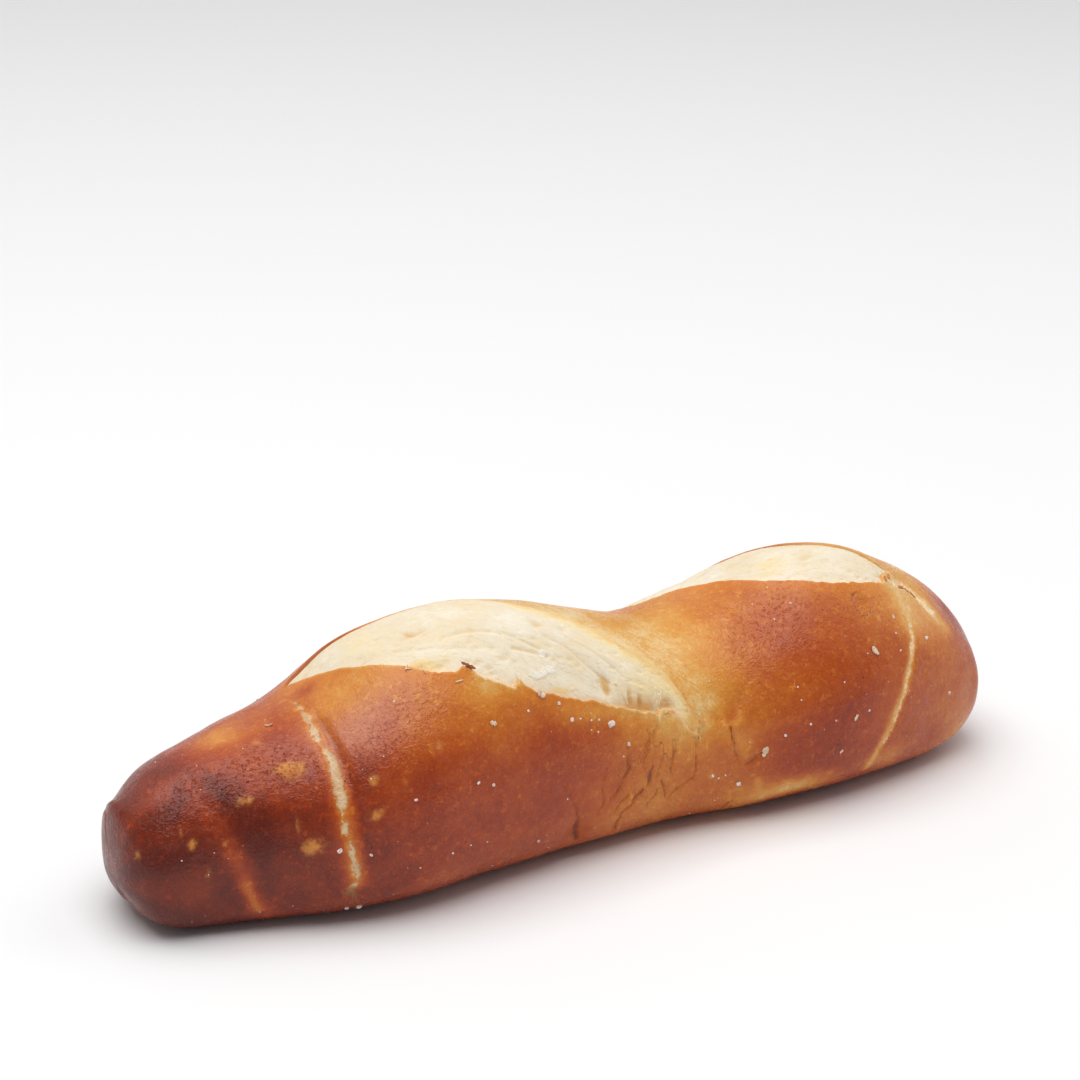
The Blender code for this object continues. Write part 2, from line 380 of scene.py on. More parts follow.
# Where the skin stretched into fine slanting streaks: the same five.
STREAKED = (
    (12, 66, 9, 26, 1.0),
    (22, 36, 6, 18, 0.7),
)
# Where it broke into fine cracks: the same five.
CRACKLED = (
    (3, -2, 9, 22, 1.0),
    (12, 8, 5, 14, 0.8),
)
PLAIN_WRINKLES = 0.3
# Where it took a glassier glaze: the same five.
GLAZED = (
    (-54, 57, 8, 13, 0.78),
    (-94, 74, 5, 11, 0.5),
    (77, 42, 4, 10, 0.4),
)
SPLITS = (LEFT_SPLIT, RIGHT_SPLIT, TAIL_SPLIT)
SPLIT_DEPTH = 0.25
SPLIT_SHOULDER = 0.9  # how far from a split's edge the crust starts to sink into it
WANDER = 0.32  # how far splits, cracks and creases stray from their paths
WANDER_SIZE = 1.3

# Cracks and creases in the stretched crust at the waist, sunk and painted with dark shade: place, turn,
# half width.
CRACKS = (
    ((6.8, 19, 0.0), (7.0, 12, 0.04), (5.4, 5, 0.06), (5.2, 2, 0.03)),
    ((9.0, 20, 0.02), (7.4, 15, 0.04), (5.8, 10, 0.05), (5.0, 4, 0.05)),
    ((1.7, 12, 0.02), (1.8, 6, 0.05), (1.7, 2, 0.16), (-0.2, -2, 0.06), (-0.8, -4, 0.1), (-2.8, -8, 0.02)),
    ((7.6, 3, 0.05), (7.2, 0, 0.24), (6.8, -2.4, 0.3), (6.4, -4, 0.05)),
    ((5.2, -5, 0.1), (4.6, -7, 0.24), (3.4, -10, 0.14), (2.2, -14, 0.04), (0.6, -19, 0.1), (0.1, -28, 0.2),
     (0.0, -36, 0.15)),
    ((7.9, 1, 0.02), (9.6, -2, 0.06), (10.4, -5, 0.22), (10.6, -8, 0.1), (11.2, -14, 0.05)),
    ((15.0, -7, 0.02), (13.2, -9, 0.05), (12.4, -12, 0.06), (11.4, -16, 0.03)),
    ((-14.8, 0, 0.02), (-12.8, -3, 0.05), (-11, -9, 0.08), (-10.3, -15, 0.12), (-10, -20, 0.35),
     (-9.6, -28, 0.5), (-9, -38, 0.35)),
    ((17.4, 14, 0.02), (17.9, 8, 0.05), (17.8, 2, 0.08), (17.4, -2, 0.05), (15.4, -6, 0.02)),
    ((25.9, 15.5, 0.2), (26.3, 11, 0.12), (26.8, 5, 0.08), (27.2, 0.5, 0.08)),
    ((28.8, -1.6, 0.02), (29.6, -1.2, 0.08), (31.4, -0.6, 0.08), (32.6, 0.6, 0.0)),
    ((-97.6, 138, 0.0), (-98.3, 122, 0.35), (-99.1, 119, 0.4), (-99.6, 126, 0.3)),
    ((12.8, 14, 0.0), (13.0, 9, 0.05), (12.6, 5, 0.04), (11.6, 1, 0.02)),
    ((2.6, -4, 0.0), (1.4, -8, 0.05), (-0.6, -12, 0.03), (-1.4, -18, 0.0)),
    ((8.6, -6, 0.02), (8.2, -10, 0.08), (7.0, -13, 0.03), (6.6, -18, 0.0)),
    ((-3.8, 4, 0.0), (-4.6, -2, 0.05), (-4.4, -8, 0.08), (-5.6, -14, 0.03)),
    ((26.5, -30, 0.08), (26.8, -40, 0.25)),
    ((63.2, 53.0, 0.0), (61.6, 54.8, 0.10), (59.8, 53.4, 0.10), (59.4, 49.0, 0.10), (60.4, 44.8, 0.10),
     (62.4, 44.4, 0.10), (63.6, 46.8, 0.02)),
)
CRACK_DEPTH = 0.18
CRACK_SHOULDER = 0.4

# Folds that sink the surface a little and are painted with dark shade, beside the left split and at the
# left nose.
CREASES = (
    ((-59.0, 78, 0.0), (-59.2, 66, 0.1), (-59.2, 52, 0.2), (-58.9, 38, 0.2), (-58.6, 26, 0.2),
     (-58.0, 13, 0.1), (-57.6, 2, 0.0)),
    ((-84.8, 80, 0.0), (-85.6, 66, 0.1), (-84.8, 50, 0.1), (-84.0, 40, 0.0)),
)
CREASE_DEPTH = 0.22
CREASE_SHOULDER = 1.2

# Low swellings and dents of the crust: place, turn, length, width in degrees, height.
SWELLINGS = (
    (26, 27, 4.0, 8, -0.8),
    (29.2, 6, 1.8, 6, -0.5),
    (-98.8, 118, 2.0, 38, 5.5),
    (-94, 118, 3.0, 30, -0.6),
    (-99, -60, 1.6, 50, -3.5),
    (89, 58, 4.0, 14, -0.8),
    (94.5, 10, 2.6, 22, 1.4),
    (-10, -26, 3.0, 12, -1.2),
    (-55, 40, 3.0, 40, 0.2),
    (-49, 36, 9, 15, 0.8),
    (13.4, 20, 2.0, 6, 0.45),
    (8.0, 20, 1.6, 6, 0.25),
    (-68.3, 53, 2.0, 4, 0.25),
    (-78, 41, 1.6, 3, 0.2),
    (-68, 12, 1.6, 4, 0.25),
    (61.6, 49, 1.5, 3.4, -0.25),
    (36.3, 76, 0.9, 2.2, -0.3),
    (-4, 85, 7, 8, 0.3),
)
# Ridges and valleys of the crust: height, width, and the place and turn along each.
FOLDS = (
    # the flap and the pucker at the waist
    (0.9, 0.5, ((17.9, 14.0), (18.4, 17.4), (19.3, 19.8), (20.6, 20.4))),
    (0.45, 0.5, ((20.7, 20.0), (20.2, 17.4), (19.6, 15.4))),
    (0.4, 0.6, ((21.6, 18.2), (23.4, 17.4), (25.0, 16.2))),
    (-0.5, 0.8, ((19.0, 23.5), (21.4, 22.6), (24.0, 20.6), (25.6, 19.0))),
    (-0.4, 1.2, ((29.4, 29.0), (27.8, 23.0), (26.2, 17.6))),
    (0.22, 0.8, ((30.2, 26.0), (28.9, 21.6), (27.5, 17.6), (26.2, 14.6))),
    (-0.4, 0.6, ((25.8, 14.6), (26.2, 11.0), (26.8, 4.0), (27.2, 0.0))),
    # the left split's own valley and rims
    (-0.24, 0.8, ((-59.0, 78), (-59.2, 52), (-58.7, 26), (-57.8, 2))),
    (0.30, 0.9, ((-62.8, 60), (-63.2, 40), (-63.4, 22), (-62.6, -4))),
    (-0.5, 0.5, ((-97.6, 138), (-98.3, 122), (-99.1, 119), (-99.6, 126))),
)
RING_BLISTER = (61.6, 49.5, 2.2, 0.5, 0.3)  # place, turn, radius, half width, height
ROUGHNESS_OF_SHAPE = ((16.0, 0.25), (6.0, 0.09), (2.2, 0.04))  # size of lumps, their height


def split_fields(along, turn):
    """Distances from the nearest split, crack and crease, in millimetres. The lines wander a
    little off their paths by seeded noise."""
    unrolled = flat_skin(along, turn)
    along = along + WANDER * cloud(unrolled, WANDER_SIZE, 21)
    turn = turn + WANDER / ARC * cloud(unrolled, WANDER_SIZE, 22)
    return tuple(
        np.min([line_distance(path, along, turn) for path in paths], axis=0)
        for paths in (SPLITS, CRACKS, CREASES)
    )


def lumps(along, turn):
    """The roll's own unevenness: swellings, ridges and valleys, and seeded lumps of three sizes."""
    unrolled = flat_skin(along, turn)
    proud = patches(SWELLINGS, along, turn) + ridges(FOLDS, along, turn)
    for seed, (size, height) in enumerate(ROUGHNESS_OF_SHAPE):
        proud = proud + height * cloud(unrolled, size, 10 + seed)
    return proud


def crust_relief(along, turn, fields):
    """How far the crust stands proud: its lumps and lips, and what splits and cracks sink."""
    proud = lumps(along, turn)
    split, crack, crease = fields
    for away, depth, shoulder in (
        (split, SPLIT_DEPTH, SPLIT_SHOULDER),
        (crack, CRACK_DEPTH, CRACK_SHOULDER),
        (crease, CREASE_DEPTH, CREASE_SHOULDER),
    ):
        proud = proud - depth * (1 - smoothstep(0, shoulder, away))
    place, angle, radius, half_width, height = RING_BLISTER
    ring = np.hypot(along - place, (turn - angle) * ARC) - radius
    proud = proud + height * np.exp(-((ring / half_width) ** 2))
    for cut in CUTS:
        near, far = inset(cut, along, turn)
        held = np.clip(along, *cut.span)
        ends = smoothstep(-LIP_FADE, 0, np.minimum(along - cut.span[0], cut.span[1] - along))
        for rise, inside, nearest in (
            (cut.near_rise, near, near < far),
            (cut.far_rise, far, near >= far),
        ):
            beside = np.exp(-np.maximum(-inside, 0) / LIP_WIDTH) * nearest
            proud = proud + ends * through(rise, held) * beside
        proud = proud - FLOOR * smoothstep(*WALL, np.minimum(near, far))
    return proud


# ----------------------------------------------------------------------------------------
# Meshes
# ----------------------------------------------------------------------------------------

RINGS = 450
# Where rings crowd: place, length over which they do, and how much.
RING_CROWDING = (
    (-100, 4, 3.0), (100, 5, 2.0), (-61, 3, 1.2), (-31, 4, 0.8), (-21, 3, 0.8), (8, 15, 1.3),
    (67, 8, 0.6),
)
CRUST_ROWS = (98, 42, 46)  # between the underside and the cuts, the cuts, and the underside
CUT_SHARES = (
    0, 0.01, 0.02, 0.03, 0.042, 0.06, 0.1, 0.2, 0.4, 0.6, 0.8, 0.9, 0.94, 0.958, 0.97, 0.98, 0.99,
)  # the crust's rows across a cut, crowded against both lips
CROWDED = (0.965, 0.973, 0.981, 0.988, 0.995)  # its last rows before a lip, as shares of a span
CRUMB_RINGS = 420
CRUMB_ROWS = 112
CRUMB_UNDER_ROWS = 8


def ring_places(rings):
    """Places of the rings: each is where the sum of the crowding so far reaches its share of
    the whole. They crowd at the two noses and splits, at the lip's teeth and at the waist."""
    fine = np.linspace(-HALF_LENGTH, HALF_LENGTH, 4001)
    crowding = 1 + 0 * fine
    for place, length, amount in RING_CROWDING:
        crowding = crowding + amount * np.exp(-(((fine - place) / length) ** 2))
    so_far = np.concatenate([[0], np.cumsum((crowding[1:] + crowding[:-1]) / 2)])
    return np.interp(np.linspace(0, so_far[-1], rings + 2)[1:-1], so_far, fine)


def crowded_shares(rows, at_start, at_end, leaning=0.0):
    """Shares of a span from 0 to 1, with a few rows crowded against the lips it meets, and the
    others drawn towards its end by how much they lean there."""
    first = 1 - np.array(CROWDED[::-1]) if at_start else np.array([])
    last = np.array(CROWDED) if at_end else np.array([])
    low = first[-1] if at_start else 0.0
    high = last[0] if at_end else 1.0
    plain = np.linspace(low, high, rows - len(first) - len(last) + 1 + at_start)[at_start:-1]
    plain = plain * (1 + leaning * (1 - plain / high))
    start = np.array([0.0]) if at_start else np.array([])
    return np.concatenate([start, first, plain, last])


def crust_turns(along):
    """Turns of the crust's rows at each place, with a row along each lip of both cuts."""
    left_near, left_far = row_guides(LEFT_CUT, along)
    right_near, right_far = row_guides(RIGHT_CUT, along)
    front, crown, back = CRUST_ROWS
    spans = (
        (-90 + 0 * along, left_near, crowded_shares(front, False, True, 0.5)),
        (left_near, left_far, np.array(CUT_SHARES)),
        (left_far, right_near, crowded_shares(crown, True, True)),
        (right_near, right_far, np.array(CUT_SHARES)),
        (right_far, 270 + 0 * along, crowded_shares(back, True, False)),
    )
    rows = [start + (end - start) * share for start, end, shares in spans for share in shares]
    return np.stack(rows, axis=1)


def tube_faces(rings, rows):
    """Faces of a closed tube, as quads and triangles. Its points are its rings, in order, and
    then two tips: quads join neighbouring rings, and a fan joins each end to its tip."""
    row = np.arange(rows)
    following = (row + 1) % rows
    ring = np.arange(rings - 1)[:, None] * rows
    last = (rings - 1) * rows
    quads = np.stack([ring + row, ring + following, ring + rows + following, ring + rows + row], -1)
    start = np.stack([0 * row + rings * rows, following, row], -1)
    end = np.stack([0 * row + rings * rows + 1, row + last, following + last], -1)
    return quads.reshape(-1, 4), np.concatenate([start, end])


def new_piece(name, points, quads, triangles):
    """A piece from its points, in millimetres, and its faces."""
    sizes = np.repeat((4, 3), (len(quads), len(triangles)))
    corners = np.concatenate([quads.ravel(), triangles.ravel()])
    mesh = bpy.data.meshes.new(name)
    mesh.vertices.add(len(points))
    mesh.loops.add(len(corners))
    mesh.polygons.add(len(sizes))
    mesh.vertices.foreach_set("co", (points * MM).astype(np.float32).ravel())
    mesh.loops.foreach_set("vertex_index", corners.astype(np.int32))
    mesh.polygons.foreach_set("loop_start", (np.cumsum(sizes) - sizes).astype(np.int32))
    mesh.update(calc_edges=True)
    mesh.validate()
    piece = bpy.data.objects.new(name, mesh)
    bpy.context.scene.collection.objects.link(piece)
    return piece


def closed_tube(name, points, tips, fields):
    """A closed surface from rings of points (rings, rows, 3), with a fan to a tip at each end.

    The rings run along the roll and their rows up its front and down its back, so the faces
    are turned over to face outward. fields are numbers for each point, with one for each
    tip, which the materials read by name.
    """
    quads, triangles = tube_faces(*points.shape[:2])
    points = np.concatenate([points.reshape(-1, 3), tips])
    piece = new_piece(name, points, quads[:, (0, 3, 2, 1)], triangles[:, (0, 2, 1)])
    for field, (values, tip_values) in fields.items():
        wide = np.ndim(tip_values) == 2
        layer = piece.data.attributes.new(field, "FLOAT_VECTOR" if wide else "FLOAT", "POINT")
        numbers = np.concatenate([np.ravel(values), np.ravel(tip_values)]).astype(np.float32)
        layer.data.foreach_set("vector" if wide else "value", numbers)
    piece.data.shade_smooth()
    return piece


def dress(piece, material):
    """Gives a piece its material and its slot, and lets it ride in the roll's place."""
    piece.data.materials.append(material)
    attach(piece, BODY)
    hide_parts(NODE)


def make_crust(settings):
    """One closed skin: rings along the roll, rows that follow the lips of both cuts, and inside
    the cuts a hidden floor under the crumb."""
    along = ring_places(RINGS)[:, None]
    turn = crust_turns(along[:, 0])
    fields = split_fields(along, turn)
    points = skin(along, turn, crust_relief(along, turn, fields))
    tips = np.array([
        (-HALF_LENGTH, 0, AXIS_SHARE * PROFILE[0][1]),
        (HALF_LENGTH, 0, AXIS_SHARE * PROFILE[-1][1]),
    ])
    insets = [inset(cut, along, turn) for cut in CUTS]
    lip = np.max([np.minimum(near, far) for near, far in insets], axis=0)
    values = {
        "split": (fields[0], (FAR_OFF, FAR_OFF)),
        "crack": (fields[1], (FAR_OFF, FAR_OFF)),
        "crease": (fields[2], (FAR_OFF, FAR_OFF)),
        "lip": (lip, (-FAR_OFF, -FAR_OFF)),
        "bake": (bake(along, turn, lip), (0.92, 0.62)),
        "blotch": (blotches(along, turn), (0, 0)),
        "glaze": (patches(GLAZED, along, turn), (0, 0)),
        "wrinkle": (PLAIN_WRINKLES + patches(WRINKLES, along, turn), (0, 0)),
        "streaked": (patches(STREAKED, along, turn), (0, 0)),
        "crackled": (patches(CRACKLED, along, turn), (0, 0)),
        "skin": (flat_skin(along, turn), ((-HALF_LENGTH, 0, 0), (HALF_LENGTH, 0, 0))),
    }
    piece = closed_tube("crust", points, tips, values)
    dress(piece, crust_material(settings))


# ----------------------------------------------------------------------------------------
# Browning
# ----------------------------------------------------------------------------------------

# How brown the crust is, from 0, cream, to 1, mahogany, along its front and along its crown.
BAKE_FRONT = (
    (-100, 0.97), (-86, 0.95), (-75, 0.95), (-66, 0.93), (-57, 0.88), (-46, 0.80), (-30, 0.76),
    (-16, 0.74), (-8, 0.73), (-1, 0.59), (8, 0.46), (18, 0.52), (30, 0.58), (38, 0.76),
    (48, 0.82), (58, 0.77), (66, 0.67), (76, 0.64), (86, 0.60), (100, 0.66),
)
BAKE_CROWN = (
    (-100, 0.90), (-88, 0.92), (-80, 0.76), (-72, 0.64), (-64, 0.58), (-56, 0.36), (-46, 0.36),
    (-30, 0.30), (-12, 0.14), (0, 0.16), (8, 0.16), (20, 0.18), (27, 0.27), (34, 0.44),
    (42, 0.50), (52, 0.55), (62, 0.48), (74, 0.26), (82, 0.28), (90, 0.72), (100, 0.72),
)
BAKE_TURNS = (5, 70)  # the front's browning gives way to the crown's between these turns
LIP_PALING = 0.04  # how much less brown the crust is at a lip
FLUSH_PALING = 0.12  # and how much less again where the left cut's far side lies flush
FLUSH_ENDS = (13, 17)  # between these places the flush side's paling ends
PALING_WIDTH = 1.4
BAKE_PATCHES = (
    # the stretched waist
    (15, 18, 9, 12, -0.22),
    (15, 62, 9, 11, -0.11),
    (20, 32, 5, 10, -0.20),
    (12, 64, 5, 8, 0.11),
    (17, 14, 3, 4, 0.06),
    (13.5, 46, 2.5, 6, -0.05),
    (12, 25, 4, 4.5, -0.09),
    (2, 4, 6, 8, -0.05),
    (-2, 82, 5, 4, -0.07),
    (25, 36, 4, 8, -0.06),
    (20.5, 17.5, 2.0, 3.0, -0.08),
    (33, 50, 6, 10, 0.05),
    (19, -8, 3, 10, 0.07),
    (-8, 27.5, 9, 5, -0.17),
    (-22, 41, 5, 5, -0.10),
    (-4, 27, 5, 4, -0.05),
    (3, 26, 5, 5, -0.06),
    (18, 108, 10, 14, 0.24),
    (3, -8, 7, 10, -0.08),
    (-8, -22, 12, 14, -0.12),
    # left lobe and nose
    (-50, 126, 18, 12, 0.50),
    (-57.2, 95, 2.2, 4.5, 0.27),
    (-53.5, 88, 4, 5, 0.07),
    (-56, 77, 3, 5, -0.05),
    (-28, 34, 10, 14, -0.12),
    (-29, 45, 3, 6, -0.24),
    (-25, 31, 4, 8, 0.06),
    (-44, 48, 8, 10, 0.06),
    (-44, -28, 8, 6, -0.10),
    (-92, 74, 6, 14, -0.14),
    (-96, 46, 4, 14, 0.06),
    (-80.5, 52, 5, 17, 0.18),
    (-68, 66, 6, 14, 0.11),
    (-62, 27, 8, 8, 0.06),
    (-71, 19, 3, 6, -0.06),
    (-65, 50, 6, 16, 0.12),
    (-58.6, 5, 1.6, 14, 0.08),
    (-76, 86, 4, 9, -0.10),
    (-57, 40, 6, 11, 0.16),
    (-55, 57, 8, 14, 0.11),
    (-89, 37, 5, 10, -0.08),
    (-85, 62, 4, 9, 0.13),
    (-77, 14, 2.2, 12, 0.07),
    (-83, 40, 2, 6, 0.05),
    (-97, 16, 7, 20, 0.06),
    (-47, 60, 6, 8, 0.08),
    (-74, 34, 8, 16, 0.05),
    (-70, 76, 5, 8, 0.07),
    (-77, 97, 5, 12, -0.30),
    # right lobe
    (41, 60, 6, 12, 0.12),
    (44, 22, 11, 14, -0.18),
    (75, 50, 4, 14, -0.13),
    (50, 66, 12, 10, -0.09),
    (59, -22, 4, 6, -0.20),
    # painted light: much paler low on the right lobe's front, over the shade that falls there
    (41, -26, 7, 10, -0.54),
    (71.4, 55, 3, 8, -0.07),
    (81, 32, 5, 10, -0.05),
    (27.2, 21.5, 1.8, 5.0, 0.08),
    (28, 6, 2.6, 6, -0.14),
    (32, -34, 6, 16, -0.24),
    (48, -36, 7, 12, -0.32),
    (66, -30, 4, 20, -0.20),
    (88, -22, 7, 18, -0.24),
)
# Soft bands where the skin stretched: how brown they are at their middle, width, and the place
# and turn along each.
BANDS = (
    (0.80, 2.2, (
        (-86, 66), (-85, 42), (-83.5, 28), (-81.5, 12), (-79.4, -4), (-77.8, -18), (-76, -36),
    )),
    (0.70, 1.0, ((-82.2, 15), (-80.8, 5), (-79.6, -4))),
    (0.46, 0.9, ((-79.9, -3), (-78.6, -13), (-77.4, -26))),
    (0.50, 1.9, (
        (-60.5, 94), (-61, 74), (-61.2, 56), (-61.2, 36), (-61.6, 18), (-60.8, 0), (-60.2, -10),
    )),
    (0.14, 3.0, ((73.0, 60), (73.4, 50), (73.4, 40))),
    (0.24, 1.1, (
        (73.3, 42), (72.2, 30), (70.4, 19), (68.2, 9), (65.6, 1), (63, -7), (61, -17), (59.4, -30),
    )),
    (0.15, 2.5, ((74, 62), (77.4, 59), (80.6, 52), (84, 42))),
    (0.30, 0.8, ((31.6, -12), (32.6, -24), (33, -38))),
    (0.36, 0.7, ((28, -16), (28.4, -28), (28.2, -38))),
    (0.40, 1.0, ((49, -22), (48, -34), (48, -44))),
    (0.31, 1.2, ((18.2, 13.5), (19.6, 16), (21.6, 16.4), (24.4, 15.4))),
    (0.34, 0.7, ((28.6, 20.0), (27.2, 16.6), (26.2, 14.4))),
)
# Rough gold blotches: place, turn, length, width in degrees, strength.
BLOTCHES = (
    (-68.3, 52.5, 2.8, 5.5, 1.3),
    (-78, 41, 1.8, 3.6, 0.8),
    (-71.5, 76, 1.2, 4.5, 0.7),
    (-55.2, 32.8, 1.0, 2.2, 1.5),
    (-88.8, 25, 1.0, 4.0, 0.9),
    (-90.2, 36, 0.5, 5.0, 0.5),
    (-82.8, 20, 0.8, 2.0, 0.8),
    (-86.4, 5, 0.6, 4.0, 0.6),
    (-67.9, 10.4, 2.0, 4.6, 1.2),
    (-69.7, 22, 0.6, 6.0, 0.6),
    (-55.7, 17.9, 1.4, 2.0, 1.3),
    (-42, 31, 1.2, 3.2, 0.6),
    (-49.8, 25, 0.8, 2.0, 0.5),
    (-97.8, 36, 0.5, 6.0, 0.7),
    (-75, 88, 1.2, 5.0, 0.6),
    (19.2, 20, 1.4, 3.0, 0.7),
    (24, 13, 2.0, 2.5, 0.6),
    (28.6, 3, 1.2, 5.0, 0.8),
    (31, 41, 1.4, 1.2, 0.6),
)


def bake(along, turn, lip):
    """How brown the crust is: from the front's curve to the crown's and down again behind, with
    soft patches and bands, lighter beside the lips, and fading to cream at the flush lip."""
    over = np.where(turn > 90, 180 - turn, turn)
    share = smoothstep(*BAKE_TURNS, over)
    level = through(BAKE_FRONT, along) * (1 - share) + through(BAKE_CROWN, along) * share
    level = level + patches(BAKE_PATCHES, along, turn)
    for middle, width, path in BANDS:
        bell = np.exp(-((middle_distance(path, along, turn) / width) ** 2))
        level = level + np.minimum(middle - level, 0) * bell
    level = level - LIP_PALING * np.exp(-np.maximum(-lip, 0) / PALING_WIDTH)
    near, far = inset(LEFT_CUT, along, turn)
    flush = smoothstep(*FLUSH_FROM, along) * (1 - smoothstep(*FLUSH_ENDS, along)) * (near > far)
    level = level - FLUSH_PALING * flush * np.exp(-np.maximum(-far, 0) / PALING_WIDTH)
    level = level + 0.05 * cloud(flat_skin(along, turn), 9.0, 31)
    return np.clip(level, 0.0, 1.1)


def blotches(along, turn):
    """The strength of the strongest blotch at each place, a soft bell for each."""
    total = np.zeros(np.broadcast(along, turn).shape)
    for place, angle, length, width, strength in BLOTCHES:
        away = np.hypot((along - place) / length, (turn - angle) / width)
        total = np.maximum(total, strength * np.exp(-(away**2)))
    return total


# ----------------------------------------------------------------------------------------
# Crumb
# ----------------------------------------------------------------------------------------

PORES = 260
CRUMB_FOLDS = ((0.16, (12, 4.5, 5)), (0.08, (5, 2.2, 2)), (0.035, (2.2, 1.1, 1)))  # height, sizes

# Hollows torn into the crumb: place, turn, length, width in degrees, depth.
LEFT_HOLLOWS = (
    (-0.8, 41, 1.6, 5, 0.45),
    (-0.6, 37, 0.8, 4, 0.5),
    (7.5, 29.5, 5.2, 4.4, 0.6),
    (4.6, 34, 0.5, 5, 0.55),
    (6.8, 31.5, 0.45, 4, 0.7),
    (10.4, 36, 0.6, 4, 0.4),
    (12.8, 31.5, 1.2, 4, 0.4),
    (-38, 82, 2.6, 2.4, 0.3),
    (-11.1, 71.6, 1.3, 2.6, 0.4),
    (-5.4, 70.7, 1.1, 2.4, 0.35),
    (-12.8, 53.6, 1.3, 1.4, 0.22),
)
# Soft ridges of crumb between the hollows: place, turn, length, width in degrees, height.
LEFT_RIDGES = (
    (-1.6, 33, 2.0, 3, 0.35),
    (2.2, 38.5, 0.5, 6, 0.35),
    (10.4, 32, 0.6, 8, 0.45),
    (14.6, 30.5, 0.5, 6, 0.3),
)
# Long thin creases of the left crumb: depth, width, and the place and turn along each.
LEFT_CREASES = (
    (0.25, 0.4, ((-38.7, 86), (-37.3, 81.2), (-34.7, 80.8))),
    (0.25, 0.4, ((-32.5, 72.7), (-26.7, 70.2), (-20.9, 66.7), (-16.5, 61.2), (-13.6, 57.0))),
    (0.3, 0.4, ((-19.9, 58.6), (-16.5, 56.4), (-13.4, 54.5))),
    (0.25, 0.45, ((-11.0, 64.0), (-7.0, 57.6), (-3.3, 47.8), (0.3, 41.3))),
    (0.2, 0.4, ((-7.0, 66.0), (-2.0, 58.0), (2.0, 50.0), (4.0, 44.0))),
    (0.16, 0.4, ((-42, 78), (-36, 70), (-29, 63), (-24, 60))),
)
RIGHT_HOLLOWS = (
    (57, 84, 3.0, 2.4, 0.3),
    (40, 112, 2.4, 3, 0.3),
)
# Where the crumb browned a little, and where it tore white and rough.
LEFT_TOAST = (
    (17.5, 19, 2.4, 8, 0.5),
    (4, 58, 9, 12, 0.10),
    (7, 37, 8, 9, 0.26),
    (-40, 61, 7, 5, 0.42),
    (-40.5, 66, 3, 4, 0.40),
    (-12, 37.5, 4.5, 2.6, 0.4),
    (-48, 111, 9, 6, 0.2),
    (-46, 95, 5, 9, 0.25),
    (-30, 44, 5, 3, 0.15),
)
LEFT_TORN = (
    (-13.4, 54.5, 1.4, 2.4, 0.9),
    (-12.6, 47.5, 2.0, 3.0, 0.8),
    (-16.4, 45.5, 2.6, 2.4, 0.8),
    (-8.6, 38, 1.0, 2.0, 0.6),
    (-9.6, 74, 1.2, 2.4, 0.6),
    (-4.4, 73, 0.9, 2.2, 0.6),
    (14.0, 40, 1.2, 4, 0.5),
)
RIGHT_TOAST = (
    (49, 87, 5, 8, 0.30),
)
RIGHT_TORN = (
    (29, 114, 2.0, 4, 0.8),
    (34, 109, 2.4, 3, 0.8),
    (40, 103, 1.6, 3, 0.7),
    (48, 82, 2.0, 2.4, 0.4),
)
FLUSH_FROM = (-17, -11)  # past here the left cut's far side lies flush and browned
FLUSH_WIDTH = 4.5  # how far into the cut it does


class Crumb(NamedTuple):
    """The crumb of one cut: its piece's name, its cut, the seed of its noise, its hollows,
    ridges and creases, and where it is toasted and torn."""

    name: str
    cut: Cut
    seed: int
    hollows: tuple
    ridges: tuple
    creases: tuple
    toast: tuple
    torn: tuple


CRUMBS = (
    Crumb("crumb_left", LEFT_CUT, 51, LEFT_HOLLOWS, LEFT_RIDGES, LEFT_CREASES, LEFT_TOAST, LEFT_TORN),
    Crumb("crumb_right", RIGHT_CUT, 61, RIGHT_HOLLOWS, (), (), RIGHT_TOAST, RIGHT_TORN),
)


def crumb_relief(cut, along, turn, across, seed):
    """How far the crumb stands proud: sunk at both lips, swelling between them, with soft
    folds that follow the cut's middle line. across runs from 0 at the near lip to 1 at the
    far one. It also gives each place as how far along and how far off the middle it lies."""
    held = np.clip(along, *cut.span)
    share = np.clip(across, 0, 1)
    proud = (
        through(cut.swell, held) * 16 * share**2 * (1 - share) ** 2
        - through(cut.near_sink, held) * (1 - share) ** 5
        - through(cut.far_sink, held) * share**8
    )
    middle = (through(cut.near, along) + through(cut.far, along)) / 2
    grain = np.stack([along + 0 * turn, (turn - middle) * arc(along), 0 * across], axis=-1)
    for step, (height, sizes) in enumerate(CRUMB_FOLDS):
        proud = proud + height * cloud(grain, sizes, seed + step)
    return proud, grain


def pores(cut, along, turn, seed):
    """Oval dimples, longer along the roll, scattered over the crumb: larger ones are fewer."""
    draw = np.random.default_rng(seed)
    places = draw.uniform(*cut.span, PORES)
    share = draw.uniform(0.05, 0.95, PORES)
    turns = through(cut.near, places) * (1 - share) + through(cut.far, places) * share
    sizes = 0.22 + 0.5 * draw.power(0.45, PORES)
    sunk = np.zeros(np.broadcast(along, turn).shape)
    for place, angle, size in zip(places, turns, sizes):
        away = ((along - place) / (1.9 * size)) ** 2 + ((turn - angle) * ARC / size) ** 2
        sunk = np.maximum(sunk, 0.34 * size * np.exp(-away * 1.6))
    return sunk


